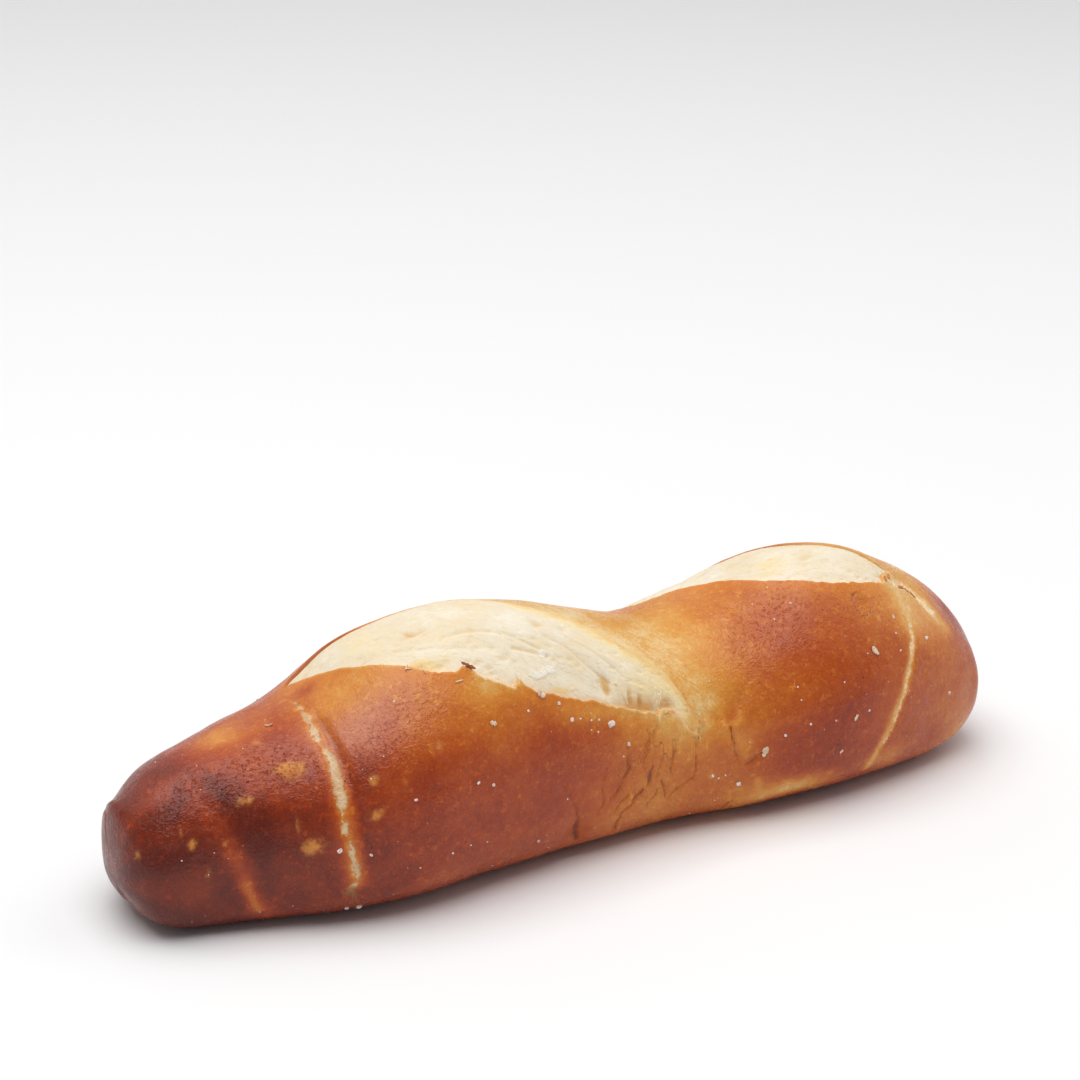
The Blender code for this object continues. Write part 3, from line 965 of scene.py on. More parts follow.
def crumb_grid(cut):
    """The grid of a crumb: the places of its rings, the turns of its top and underside, and how
    far across the cut each row of its top lies. Rings crowd a little at both ends and in the
    middle, and rows reach under both lips, by more degrees where a lip slants."""
    steps = np.linspace(0, 1, CRUMB_RINGS + 2)[1:-1]
    start, end = cut.span
    eased = steps - 0.02 * np.sin(4 * np.pi * steps)
    along = (start - 0.5 + (end - start + 1.0) * eased)[:, None]
    near, far = through(cut.near, along), through(cut.far, along)
    middle, half = (near + far) / 2, np.maximum((far - near) / 2, 0.4)
    leans = [np.gradient(lip[:, 0], along[:, 0])[:, None] * arc(along) for lip in (near, far)]
    reaches = [TUCK / arc(along) * np.minimum(np.hypot(1, lean), 4) for lean in leans]
    low, high = middle - half - reaches[0], middle + half + reaches[1]
    turn = low + (high - low) * np.linspace(0, 1, CRUMB_ROWS)[None]
    under_turn = low + (high - low) * np.linspace(1, 0, CRUMB_UNDER_ROWS + 2)[1:-1][None]
    return along, turn, under_turn, (turn - middle) / (2 * half) + 0.5


def make_crumb(crumb, settings):
    """A closed lens of crumb: its top runs from under the near lip to under the far lip, and
    its underside closes it inside the roll."""
    cut = crumb.cut
    along, turn, under_turn, across = crumb_grid(cut)
    near_edge, far_edge = inset(cut, along, turn)
    pits = pores(cut, along, turn, crumb.seed) * settings.pore_depth
    sunk = patches(crumb.hollows, along, turn) - patches(crumb.ridges, along, turn)
    sunk = sunk + ridges(crumb.creases, along, turn)
    flush_side = smoothstep(*FLUSH_FROM, along) * (cut is LEFT_CUT)
    flush = flush_side * (1 - smoothstep(0.0, FLUSH_WIDTH, far_edge))
    proud, grain = crumb_relief(cut, along, turn, across, crumb.seed)
    proud = proud * (1 - flush) + lumps(along, turn) + 0.06 * flush - pits - sunk
    inside = np.minimum(near_edge, far_edge)
    proud = proud - 2.5 * (1 - smoothstep(-TUCK, 0.25 - 0.85 * flush, inside))
    depth = min(-4.2, proud.min() - 0.5)
    bottom = skin(along, under_turn, depth + 0 * under_turn)
    points = np.concatenate([skin(along, turn, proud), bottom], axis=1)
    tips = np.array([points[0].mean(axis=0), points[-1].mean(axis=0)])
    browned = patches(crumb.toast, along, turn) + 0.55 * flush_side * np.exp(-np.maximum(far_edge, 0) / 2.0)
    fields = {
        "pore": pits,
        "hollow": sunk,
        "toast": browned,
        "torn": patches(crumb.torn, along, turn),
    }
    under = np.zeros(bottom.shape[:2])
    values = {name: (np.concatenate([top, under], axis=1), (0, 0)) for name, top in fields.items()}
    values["grain"] = (np.concatenate([grain, 0 * bottom], axis=1), ((0, 0, 0), (0, 0, 0)))
    piece = closed_tube(crumb.name, points, tips, values)
    dress(piece, crumb_material(settings))


# ----------------------------------------------------------------------------------------
# Strands, salt and flakes
# ----------------------------------------------------------------------------------------

# Strands of crumb over the hollows: (place, turn, height over the bare roll) along each.
STRANDS = (
    ((1.6, 41.5, -0.1), (2.6, 36.5, -0.4), (3.4, 33, -0.8), (3.9, 30.5, -1.3)),
    ((11.0, 39.5, -0.1), (10.6, 34, -0.4), (10.4, 30, -0.8), (10.3, 26.6, -1.3)),
    ((12.3, 38, -0.15), (11.6, 33, -0.5), (11.0, 29.5, -0.9), (10.6, 26.6, -1.3)),
    ((14.2, 37.6, -0.1), (14.6, 33, -0.3), (14.9, 29, -0.6), (14.8, 25.5, -0.9)),
)
STRAND_RADII = (0.30, 0.20, 0.15, 0.26)  # from its root over its length

# Salt grains that stand out: place, turn, length and width in millimetres.
GRAINS = (
    (-1.8, 22, 1.7, 1.3), (-11.1, 25, 0.9, 0.7), (-13.5, 32, 0.7, 0.6), (-20.9, 31, 0.6, 0.5),
    (-34.6, 11, 0.8, 0.5), (-31.2, 8, 0.7, 0.6), (-48.3, 16, 0.7, 0.5), (1.9, 13, 0.8, 0.6),
    (-19.8, -23, 0.7, 0.5), (37.3, 6, 0.7, 0.6), (43.1, 7, 0.5, 0.5), (50.8, -8, 0.9, 0.5),
    (27.5, -12, 1.1, 0.9), (21.6, -4, 0.8, 0.6), (77, 32, 0.8, 0.7), (82.6, 4, 0.8, 0.6),
    (-63.3, 7, 1.1, 0.8), (-57.5, 1, 0.7, 0.5), (68.8, 42, 1.0, 0.4), (68.1, 34, 0.5, 0.4),
    (68.3, 26, 0.6, 0.3), (41.4, 25, 0.4, 0.4), (51.9, 19, 0.4, 0.4), (57.8, 4, 0.5, 0.4),
    (46.4, 62, 0.6, 0.4), (41.9, 59, 0.5, 0.4), (-4.6, 24, 0.5, 0.4), (-6.5, 24, 0.4, 0.4),
    (-9.0, 25, 0.5, 0.3), (0.5, 8, 0.4, 0.3), (-58.5, -38, 1.3, 0.9), (-61, -37, 0.9, 0.7),
    (-5.2, 19, 0.5, 0.3), (-6.8, 20, 0.4, 0.3), (23.0, -6, 0.5, 0.4), (24.5, -5, 0.4, 0.3),
    (-41, -10, 0.5, 0.4), (-47, 57, 0.5, 0.4),
)
GRAINS_BEHIND = 16  # the first of them also lie on the hidden side, turned half round
# Thin flakes: place, turn, length, width, heading in degrees, how far their ends lift.
DARK_FLAKES = (
    (-31.2, 54.4, 3.2, 0.8, -50, 0.12),
    (-22.4, 44.2, 0.9, 0.4, 80, 0.5),
)
PALE_FLAKES = (
    (32.8, 1.0, 2.4, 1.3, 62, 0.1),
    (61.2, 28, 2.3, 1.2, -55, 0.2),
    (54.2, 3, 1.6, 0.8, 50, 0.1),
    (-29.4, 30, 1.6, 1.0, -30, 0.1),
    (-34.0, 50.4, 1.8, 0.4, -8, 0.05),
    (-42.4, 66.4, 1.5, 0.3, 35, 0.3),
    (-41.9, 65.2, 1.2, 0.35, -30, 0.2),
    (-39.8, 61.4, 2.2, 0.22, 82, 0.3),
    (-67.3, 86, 1.6, 0.5, -20, 0.3),
    (-17.4, 36.6, 2.1, 1.4, -40, 0.3),
)
AMBER_FLAKES = (
    (71.3, 62.6, 1.8, 0.8, 70, 0.1),
    (72.9, 64.8, 1.9, 0.7, 60, 0.1),
    (75.4, 60.4, 2.0, 0.9, 10, 0.1),
    (76.9, 59.4, 1.6, 0.8, -30, 0.1),
    (78.3, 57.4, 1.8, 0.7, -55, 0.1),
)
GOLD_FLAKES = (
    (11.6, 26.4, 1.0, 0.7, 20, 0.1),
    (13.2, 26.4, 1.0, 0.6, -20, 0.1),
)
CRYSTAL_GRID = (6, 8)  # rings and rows
FLAKE_GRID = (12, 6)
STRAND_GRID = (16, 6)
FLAKE_RISE = 0.12  # how high a flake's middle lies over the crust


def crust_frame(along, turn):
    """Points of the finished crust, in millimetres, with the unit directions along the roll,
    round it and out of it at each, taken from the skin without its cuts."""
    step = 0.4

    def uncut(where, angle):
        return skin(where, angle, lumps(where, angle))

    here = skin(along, turn, crust_relief(along, turn, split_fields(along, turn)))
    ahead = uncut(along + step, turn) - uncut(along - step, turn)
    round_it = uncut(along, turn + 1) - uncut(along, turn - 1)
    ahead = ahead / np.linalg.norm(ahead, axis=-1, keepdims=True)
    out = np.cross(ahead, round_it)
    out = out / np.linalg.norm(out, axis=-1, keepdims=True)
    return here, ahead, np.cross(out, ahead), out


def joined(name, shapes, grid, material):
    """One piece from many small closed tubes of the same grid, each given as its points."""
    quads, triangles = tube_faces(*grid)
    starts = np.arange(len(shapes))[:, None, None] * len(shapes[0])
    faces = (quads + starts).reshape(-1, 4), (triangles + starts).reshape(-1, 3)
    piece = new_piece(name, np.concatenate(shapes), *faces)
    dress(piece, material)
    return piece


def set_down(points, heading, spot):
    """Points turned by the heading and set down on the crust. spot is a place on it, and the
    unit directions along the roll, round it and out of it there."""
    middle, *axes = spot
    x, y, z = points.T
    turned = (
        x * math.cos(heading) - y * math.sin(heading),
        x * math.sin(heading) + y * math.cos(heading),
        z,
    )
    return middle + np.stack(turned, axis=-1) @ np.array(axes)


def crystal(draw, spot, length, width):
    """A small worn block: a ball squared off by a power below 1, its corners pushed about by
    seeded noise, turned at random and sunk by two fifths into the crust."""
    rings, rows = CRYSTAL_GRID
    lift = np.pi * (np.arange(rings) + 0.5) / rings - np.pi / 2
    spin = 2 * np.pi * np.arange(rows) / rows
    ball = np.stack([
        np.cos(lift)[:, None] * np.cos(spin),
        np.cos(lift)[:, None] * np.sin(spin),
        np.sin(lift)[:, None] + 0 * spin,
    ], axis=-1).reshape(-1, 3)
    ball = np.concatenate([ball, [(0, 0, -1), (0, 0, 1)]])
    block = np.sign(ball) * np.abs(ball) ** 0.6
    block = block * (1 + draw.uniform(-0.16, 0.16, block.shape))
    heading = draw.uniform(0, 2 * np.pi)
    least = min(length, width)
    block = block * (length / 2, width / 2, least / 2.4) + (0, 0, 0.08 * least)
    return set_down(block, heading, spot)


def off_the_cuts(places, turns, margin):
    """Which places lie on the crust, at least a margin away from the lips of both cuts."""
    return np.max([np.minimum(*inset(cut, places, turns)) for cut in CUTS], axis=0) < -margin


def make_salt(settings):
    """The salt grains that stand out, some of them again behind, and fine seeded grains all
    round the crust."""
    draw = np.random.default_rng(7)
    count = settings.fine_grains
    places = draw.uniform(-92, 92, count)
    turns = draw.uniform(-45, 225, count)
    sizes = 0.16 + 0.26 * draw.power(0.5, count)
    fine = np.stack([places, turns, sizes, 0.8 * sizes], axis=-1)[off_the_cuts(places, turns, 1.0)]
    named = np.array(GRAINS)
    behind = named[:GRAINS_BEHIND] * (-1, -1, 1, 1) + (0, 180, 0, 0)
    named = np.concatenate([named, behind])
    named = named[off_the_cuts(named[:, 0], named[:, 1], 0.8)]
    places, turns, lengths, widths = np.concatenate([named, fine]).T
    spots = zip(*crust_frame(places, turns))
    grains = [
        crystal(draw, spot, length, width)
        for spot, length, width in zip(
            spots, lengths * settings.grain_size, widths * settings.grain_size
        )
    ]
    piece = joined("salt", grains, CRYSTAL_GRID, salt_material())
    piece.data.shade_flat()


def flake(draw, spot, length, width, heading, lift):
    """A thin leaf with a ragged edge that bends up towards both ends: a closed tube, flat
    across, whose width swells and tapers along it."""
    rings, rows = FLAKE_GRID
    share = (np.arange(rings) + 0.5) / rings
    spin = 2 * np.pi * np.arange(rows) / rows
    swell = np.sin(np.pi * share) ** 0.4 * (1 + draw.uniform(-0.3, 0.3, rings))
    x = (share[:, None] - 0.5) * length + 0 * spin
    y = np.cos(spin) * swell[:, None] * width / 2
    bend = lift * (2 * share - 1) ** 2 + FLAKE_RISE
    z = np.sin(spin) * (0.04 + 0.06 * width) + bend[:, None] + draw.uniform(-0.04, 0.04, (rings, 1))
    leaf = np.stack([x, y, z], axis=-1).reshape(-1, 3)
    tips = [(side * length / 2, 0, lift + FLAKE_RISE) for side in (-1, 1)]
    return set_down(np.concatenate([leaf, tips]), math.radians(heading), spot)


def make_flakes():
    """Loose flakes on the crust and the crumb, one piece for each kind."""
    draw = np.random.default_rng(11)
    for name, rows, dark, light, slot in (
        ("dark_flakes", DARK_FLAKES, srgb(112, 50, 28), srgb(158, 84, 44), "crust"),
        ("amber_flakes", AMBER_FLAKES, srgb(192, 106, 48), srgb(222, 148, 84), "crust"),
        ("pale_flakes", PALE_FLAKES, srgb(214, 178, 146), srgb(236, 214, 190), "crumb"),
        ("gold_flakes", GOLD_FLAKES, srgb(226, 156, 78), srgb(242, 190, 116), "crust"),
    ):
        table = np.array(rows)
        spots = zip(*crust_frame(table[:, 0], table[:, 1]))
        leaves = [flake(draw, spot, *row[2:]) for spot, row in zip(spots, table)]
        joined(name, leaves, FLAKE_GRID, flake_material(name, dark, light))


def strand(path):
    """A thread that tapers between its roots: circles round a smooth path, closed by tips."""
    rings, rows = STRAND_GRID
    steps = np.arange(len(path))
    fine = np.linspace(0, len(path) - 1, rings + 2)
    place, turn, proud = (through(tuple(zip(steps, column)), fine) for column in zip(*path))
    spine = skin(place, turn, proud)
    radius = np.interp(fine, np.linspace(0, len(path) - 1, len(STRAND_RADII)), STRAND_RADII)[1:-1]
    along = spine[2:] - spine[:-2]
    along = along / np.linalg.norm(along, axis=1, keepdims=True)
    side = np.cross((0.0, 0.0, 1.0), along)
    side = side / np.linalg.norm(side, axis=1, keepdims=True)
    top = np.cross(along, side)
    spin = 2 * np.pi * np.arange(rows) / rows
    spokes = np.cos(spin)[:, None] * side[:, None] + np.sin(spin)[:, None] * top[:, None]
    circles = spine[1:-1, None] + radius[:, None, None] * spokes
    return np.concatenate([circles.reshape(-1, 3), spine[:1], spine[-1:]])


def make_strands():
    """Threads of crumb that bridge the hollows at the left cut's tail."""
    material = flake_material("strands", srgb(232, 208, 166), srgb(240, 224, 192))
    joined("strands", [strand(path) for path in STRANDS], STRAND_GRID, material)


# ----------------------------------------------------------------------------------------
# Materials
# ----------------------------------------------------------------------------------------


def srgb(red, green, blue):
    """A colour given as 0 to 255 on screen, as the linear colour that a shader takes."""
    parts = np.array([red, green, blue]) / 255
    linear = np.where(parts <= 0.04045, parts / 12.92, ((parts + 0.055) / 1.055) ** 2.4)
    return tuple(float(part) for part in linear)


class Nodes:
    """Short ways to add and join nodes in a shader tree. Sizes are in millimetres."""

    def __init__(self, tree):
        self.tree = tree

    def add(self, kind, **settings):
        """A new node of a kind, with its settings."""
        node = self.tree.nodes.new(kind)
        for name, value in settings.items():
            setattr(node, name, value)
        return node

    def feed(self, socket, value):
        """Links a socket to another, or sets it to a number, a vector or a colour."""
        if isinstance(value, bpy.types.NodeSocket):
            self.tree.links.new(value, socket)
        elif value is not None:
            if socket.type == "RGBA":
                value = (*value[:3], 1.0)
            socket.default_value = value

    def math(self, operation, first, second=None, third=None):
        """What a math node makes of up to three values."""
        node = self.add("ShaderNodeMath", operation=operation)
        for socket, value in zip(node.inputs, (first, second, third)):
            self.feed(socket, value)
        return node.outputs[0]

    def ease(self, value, low, high, start=0.0, end=1.0):
        """A smooth S from start, where the value is low, to end, where it is high."""
        node = self.add("ShaderNodeMapRange", interpolation_type="SMOOTHSTEP")
        values = {"Value": value, "From Min": low, "From Max": high, "To Min": start, "To Max": end}
        for name, number in values.items():
            self.feed(node.inputs[name], number)
        return node.outputs["Result"]

    def jitter(self, value, *shifts):
        """The value, moved up or down by each noise, by up to about half its amount."""
        for noise, amount in shifts:
            shift = self.math("MULTIPLY_ADD", noise, amount, -amount / 2)
            value = self.math("ADD", value, shift)
        return value

    def total(self, *layers):
        """The sum of layers, each a pattern and how much it counts for."""
        so_far = 0.0
        for pattern, amount in layers:
            so_far = self.math("MULTIPLY_ADD", pattern, amount, so_far)
        return so_far

    def mix(self, share, first, second):
        """A colour between two: the first where the share is 0, the second where it is 1."""
        node = self.add("ShaderNodeMix", data_type="RGBA")
        self.feed(node.inputs[0], share)
        self.feed(node.inputs[6], first)
        self.feed(node.inputs[7], second)
        return node.outputs[2]

    def laid_over(self, colour, *coats):
        """A colour with coats laid over it in order, each how much it covers and its colour."""
        for share, coat in coats:
            colour = self.mix(share, colour, coat)
        return colour

    def ramp(self, value, *stops):
        """A colour that runs through the stops, each a value and the colour there."""
        node = self.add("ShaderNodeValToRGB")
        elements = node.color_ramp.elements
        for _ in range(len(stops) - 2):
            elements.new(0.5)
        for element, (place, colour) in zip(elements, stops):
            element.position = place
            element.color = (*colour[:3], 1.0)
        self.feed(node.inputs["Fac"], value)
        return node.outputs["Color"]

    def part(self, vector, axis):
        """One number of a vector: 0 for x, 1 for y, 2 for z."""
        node = self.add("ShaderNodeSeparateXYZ")
        self.feed(node.inputs[0], vector)
        return node.outputs[axis]

    def field(self, name):
        """A number that a piece's mesh holds for each of its points."""
        return self.add("ShaderNodeAttribute", attribute_name=name).outputs["Fac"]

    def vector_field(self, name, heading=0.0, stretch=(1, 1, 1)):
        """A vector attribute for a pattern that is drawn out by stretch along its own axes,
        which are turned to the heading."""
        source = self.add("ShaderNodeAttribute", attribute_name=name).outputs["Vector"]
        node = self.add("ShaderNodeMapping", vector_type="TEXTURE")
        self.feed(node.inputs["Vector"], source)
        node.inputs["Rotation"].default_value = (0, 0, math.radians(heading))
        node.inputs["Scale"].default_value = stretch
        return node.outputs["Vector"]

    def bent(self, where, size, amount):
        """A place moved about by noise, so that a pattern's straight lines wander."""
        node = self.add("ShaderNodeTexNoise")
        self.feed(node.inputs["Vector"], where)
        node.inputs["Scale"].default_value = 1 / size
        shift = self.add("ShaderNodeVectorMath", operation="MULTIPLY_ADD")
        self.feed(shift.inputs[0], node.outputs["Color"])
        shift.inputs[1].default_value = (amount, amount, amount)
        self.feed(shift.inputs[2], where)
        return shift.outputs["Vector"]

    def place(self):
        """The object's own coordinates, in millimetres."""
        source = self.add("ShaderNodeTexCoord").outputs["Object"]
        node = self.add("ShaderNodeVectorMath", operation="SCALE")
        self.feed(node.inputs[0], source)
        node.inputs["Scale"].default_value = 1 / MM
        return node.outputs["Vector"]

    def noise(self, where, size, detail=2.0, rough=0.5, bend=0.0):
        """Cloudy noise from 0 to 1, whose largest clouds have the size."""
        node = self.add("ShaderNodeTexNoise")
        self.feed(node.inputs["Vector"], where)
        node.inputs["Scale"].default_value = 1 / size
        node.inputs["Detail"].default_value = detail
        node.inputs["Roughness"].default_value = rough
        node.inputs["Distortion"].default_value = bend
        return node.outputs["Fac"]

    def creased(self, noise):
        """How far a noise is from its middle: 0 on thin winding lines, up to 1 off them."""
        return self.math("ABSOLUTE", self.math("MULTIPLY_ADD", noise, 2.0, -1.0))

    def group(self, tree, **inputs):
        """What a node group gives for these inputs."""
        node = self.add("ShaderNodeGroup", node_tree=tree)
        for name, value in inputs.items():
            self.feed(node.inputs[name], value)
        return node.outputs[0]

    def bump(self, height):
        """Normals bent by a height in millimetres."""
        node = self.add("ShaderNodeBump")
        node.inputs["Distance"].default_value = MM
        self.feed(node.inputs["Height"], height)
        return node.outputs["Normal"]


def effect(name, inputs):
    """A node group with a vector and the named numbers as inputs, and one number as output."""
    tree = bpy.data.node_groups.new(name, "ShaderNodeTree")
    tree.interface.new_socket("Where", in_out="INPUT", socket_type="NodeSocketVector")
    for label, value in inputs.items():
        socket = tree.interface.new_socket(label, in_out="INPUT", socket_type="NodeSocketFloat")
        socket.default_value = value
    tree.interface.new_socket("Amount", in_out="OUTPUT", socket_type="NodeSocketFloat")
    nodes = Nodes(tree)
    return nodes, nodes.add("NodeGroupInput").outputs, nodes.add("NodeGroupOutput").inputs[0]


def specks():
    """Round specks. Each cell of a Voronoi pattern has one spot, which shows where the cell's
    own random number is under the share."""
    tree = bpy.data.node_groups.get("specks")
    if tree:
        return tree
    nodes, given, out = effect("specks", {"Spacing": 3.0, "Radius": 0.2, "Share": 0.5})
    cells = nodes.add("ShaderNodeTexVoronoi")
    nodes.feed(cells.inputs["Vector"], given["Where"])
    nodes.feed(cells.inputs["Scale"], nodes.math("DIVIDE", 1.0, given["Spacing"]))
    away = nodes.math("MULTIPLY", cells.outputs["Distance"], given["Spacing"])
    number = nodes.add("ShaderNodeSeparateColor")
    nodes.feed(number.inputs["Color"], cells.outputs["Color"])
    rim = nodes.math("MULTIPLY", given["Radius"], 0.55)
    spot = nodes.ease(away, given["Radius"], rim)
    chosen = nodes.math("LESS_THAN", number.outputs[0], given["Share"])
    nodes.feed(out, nodes.math("MULTIPLY", spot, chosen))
    return nodes.tree


def start_material(name, roughness, specular):
    """A new material with its node helper and its shader."""
    material = bpy.data.materials.new(name)
    material.use_nodes = True
    shader = material.node_tree.nodes["Principled BSDF"]
    shader.inputs["Roughness"].default_value = roughness
    shader.inputs["Specular IOR Level"].default_value = specular
    return material, Nodes(material.node_tree), shader


def browned(nodes, where, noises, edges, pits, streaked, settings):
    """How brown the crust is in the end: as baked, mottled at several sizes and less so where
    it is darkest, streaked where it stretched, lighter beside splits and lips and in
    freckles, and a little darker in pits as painted shade."""
    small, tiny = noises
    split, lip = edges
    baked = nodes.field("bake")
    uneven = nodes.jitter(
        0.0,
        (nodes.noise(where, 7.0, detail=3.0, rough=0.55), 0.27),
        (small, 0.21),
        (nodes.noise(where, 0.32, detail=1.0), 0.18),
        (tiny, 0.10),
    )
    calm = nodes.ease(baked, 0.80, 1.0, settings.mottling, 0.5 * settings.mottling)
    dark_enough = nodes.ease(baked, 0.12, 0.5, 0.25, 1.0)
    spotted = nodes.math("MULTIPLY", dark_enough, nodes.ease(baked, 0.82, 0.98, 1.0, 0.45))
    freckles = nodes.ease(nodes.noise(where, 0.9, detail=1.0), 0.60, 0.76)
    mottles = nodes.ease(nodes.noise(where, 1.7, detail=2.0, rough=0.6), 0.57, 0.74)
    return nodes.total(
        (baked, 1.0),
        (uneven, calm),
        (streaked, 0.26 * settings.mottling),
        (nodes.ease(split, 1.1, 0.0), -0.10),
        (nodes.ease(lip, -0.5, 0.0), -0.10),
        (nodes.math("MULTIPLY", freckles, spotted), -0.11),
        (nodes.math("MULTIPLY", mottles, spotted), -0.15 * settings.mottling),
        # Painted shade: a little darker in the pits.
        (pits, 0.05),
    )


def crackle(nodes, small):
    """Hairlines where the crust broke: the edges of long wandering cells."""
    cells = nodes.add("ShaderNodeTexVoronoi", feature="DISTANCE_TO_EDGE")
    skin_long = nodes.vector_field("skin", heading=-10, stretch=(1, 2.6, 1))
    nodes.feed(cells.inputs["Vector"], nodes.bent(skin_long, 1.6, 1.8))
    cells.inputs["Scale"].default_value = 1 / 2.6
    hairline = nodes.ease(nodes.jitter(cells.outputs["Distance"], (small, 0.08)), 0.032, 0.0)
    opened = nodes.jitter(nodes.field("crackled"), (small, 1.6))
    return nodes.math("MULTIPLY", hairline, nodes.ease(opened, 0.45, 1.0, 0.0, 0.55))


def torn_dough(nodes, where, small, tiny):
    """The dough in the splits: buff in the left one and creamy in the right ones, darker where
    the crust round it is browner, with amber crumbs."""
    baked = nodes.jitter(nodes.field("bake"), (small, 0.2))
    left = nodes.ramp(
        baked,
        (0.42, srgb(236, 208, 172)),
        (0.54, srgb(206, 164, 118)),
        (0.68, srgb(168, 106, 60)),
        (0.90, srgb(132, 78, 52)),
    )
    right = nodes.ramp(baked, (0.12, srgb(252, 226, 186)), (0.28, srgb(250, 206, 156)))
    torn = nodes.mix(nodes.ease(nodes.part(where, 0), -20.0, 20.0), left, right)
    return nodes.mix(nodes.ease(tiny, 0.45, 0.65, 0.0, 0.3), torn, srgb(198, 138, 76))


def crust_height(nodes, where, sunk, open_split, streaked, relief):
    """The crust's finest relief, in millimetres: wrinkles that follow the skin, soft lumps of
    three sizes, streaks, what pits, hairlines, specks and cracks sink, and torn dough."""
    skin_long = nodes.vector_field("skin", heading=-20, stretch=(1.6, 1, 1))
    folds = nodes.creased(nodes.noise(skin_long, 1.3, detail=2.0, rough=0.55, bend=0.9))
    wrinkles = nodes.math("MULTIPLY", nodes.ease(folds, 0.5, 0.0), nodes.field("wrinkle"))
    pits, hairlines, dark_specks, crack = sunk
    return nodes.total(
        (wrinkles, -0.05 * relief),
        (pits, -0.09 * relief),
        (nodes.noise(where, 2.6, detail=3.0), 0.14 * relief),
        (nodes.noise(where, 0.9, detail=3.0), 0.09 * relief),
        (nodes.noise(where, 0.45, detail=2.0), 0.05 * relief),
        (streaked, 0.08 * relief),
        (hairlines, -0.08),
        (dark_specks, -0.10),
        (nodes.ease(crack, 0.35, -0.1), -0.18),
        (nodes.math("MULTIPLY", nodes.noise(where, 0.8, detail=2.0), open_split), 0.25),
    )


def crust_material(settings):
    """Baked crust. Its colour runs from cream to mahogany with how brown the place is, warmer
    beside the lips, with rough gold blotches, pale specks, dark specks, painted shade in its cracks,
    creases and pits, torn dough in the splits, and paler walls inside the lips. It is glossy, glassier
    where it took a glaze and duller where it is torn, and finely wrinkled."""
    material, nodes, shader = start_material("baked_crust", settings.gloss, 0.37)
    where = nodes.place()
    small = nodes.noise(where, 1.6, detail=3.0, rough=0.6)
    tiny = nodes.noise(where, 0.6, detail=2.0)
    split = nodes.jitter(nodes.field("split"), (small, 1.3), (tiny, 1.1))
    lip = nodes.jitter(nodes.field("lip"), (tiny, 0.3))
    crack = nodes.jitter(nodes.field("crack"), (small, 0.24), (tiny, 0.16))
    pits = nodes.ease(nodes.noise(where, 0.8, detail=2.0, rough=0.55), 0.45, 0.30)
    pits = nodes.math("MULTIPLY", pits, nodes.field("wrinkle"))
    skin_long = nodes.vector_field("skin", heading=-54, stretch=(3.5, 1, 1))
    streaks = nodes.math("SUBTRACT", nodes.noise(skin_long, 0.6, detail=3.0), 0.5)
    streaked = nodes.math("MULTIPLY", streaks, nodes.field("streaked"))
    level = browned(nodes, where, (small, tiny), (split, lip), pits, streaked, settings)
    colour = nodes.ramp(
        level,
        (0.0, settings.crust_cream),
        (0.09, settings.pale),
        (0.19, settings.gold),
        (0.32, settings.amber),
        (0.48, settings.orange_brown),
        (0.64, settings.brown),
        (0.80, settings.red_brown),
        (0.92, settings.mahogany),
        (1.0, settings.darkest),
    )
    beside_lip = nodes.ease(nodes.field("lip"), -3.8, -0.4, 0.0, 0.40)
    rim = nodes.math("MULTIPLY", beside_lip, nodes.ease(nodes.field("bake"), 0.27, 0.40))
    blotch = nodes.jitter(nodes.field("blotch"), (small, 1.0), (tiny, 0.6))
    blotch = nodes.ease(blotch, 0.15, 1.1, 0.0, 0.95)
    gold = nodes.ramp(small, (0.3, srgb(188, 102, 36)), (0.7, srgb(216, 146, 70)))
    pale_specks = nodes.group(specks(), Where=where, Spacing=1.9, Radius=0.17, Share=0.07)
    dark_specks = nodes.group(specks(), Where=where, Spacing=4.3, Radius=0.24, Share=0.30)
    hairlines = crackle(nodes, small)
    # Painted shade: cracks and hairlines are painted dark, darkest in the middle of wide cracks.
    cracked = nodes.math("MAXIMUM", nodes.ease(crack, 0.11, -0.05, 0.0, 0.85), hairlines)
    crack_shade = nodes.mix(nodes.ease(crack, 0.0, -0.3), srgb(142, 64, 34), srgb(98, 38, 22))
    open_split = nodes.ease(split, 0.30, -0.12)
    inside = nodes.ease(lip, -0.05, 0.22)
    wall = nodes.mix(nodes.ease(nodes.field("bake"), 0.3, 0.6), srgb(228, 176, 108), srgb(170, 92, 44))
    colour = nodes.laid_over(
        colour,
        (rim, srgb(224, 130, 40)),
        (blotch, gold),
        (nodes.math("MULTIPLY", pale_specks, 0.7), srgb(216, 140, 74)),
        (nodes.math("MULTIPLY", dark_specks, 0.8), srgb(66, 26, 18)),
        (cracked, crack_shade),
        # Painted shade along the creases.
        (nodes.ease(nodes.field("crease"), 0.9, 0.0, 0.0, 0.18), srgb(96, 34, 20)),
        (open_split, torn_dough(nodes, where, small, tiny)),
        (inside, wall),
    )
    nodes.feed(shader.inputs["Base Color"], colour)

    bare = nodes.math("MAXIMUM", open_split, inside)
    bare = nodes.math("MAXIMUM", bare, nodes.math("MULTIPLY", blotch, 0.6))
    dullest, glossiest = settings.gloss + 0.10, settings.gloss - 0.04
    gloss = nodes.ease(nodes.noise(where, 3.0, detail=3.0), 0.3, 0.75, glossiest, dullest)
    nodes.feed(shader.inputs["Roughness"], nodes.math("MULTIPLY_ADD", bare, 0.4, gloss))
    shader.inputs["Coat Roughness"].default_value = 0.3
    nodes.feed(shader.inputs["Coat Weight"], nodes.field("glaze"))
    sunk = (pits, hairlines, dark_specks, crack)
    height = crust_height(nodes, where, sunk, open_split, streaked, settings.relief)
    nodes.feed(shader.inputs["Normal"], nodes.bump(height))
    return material


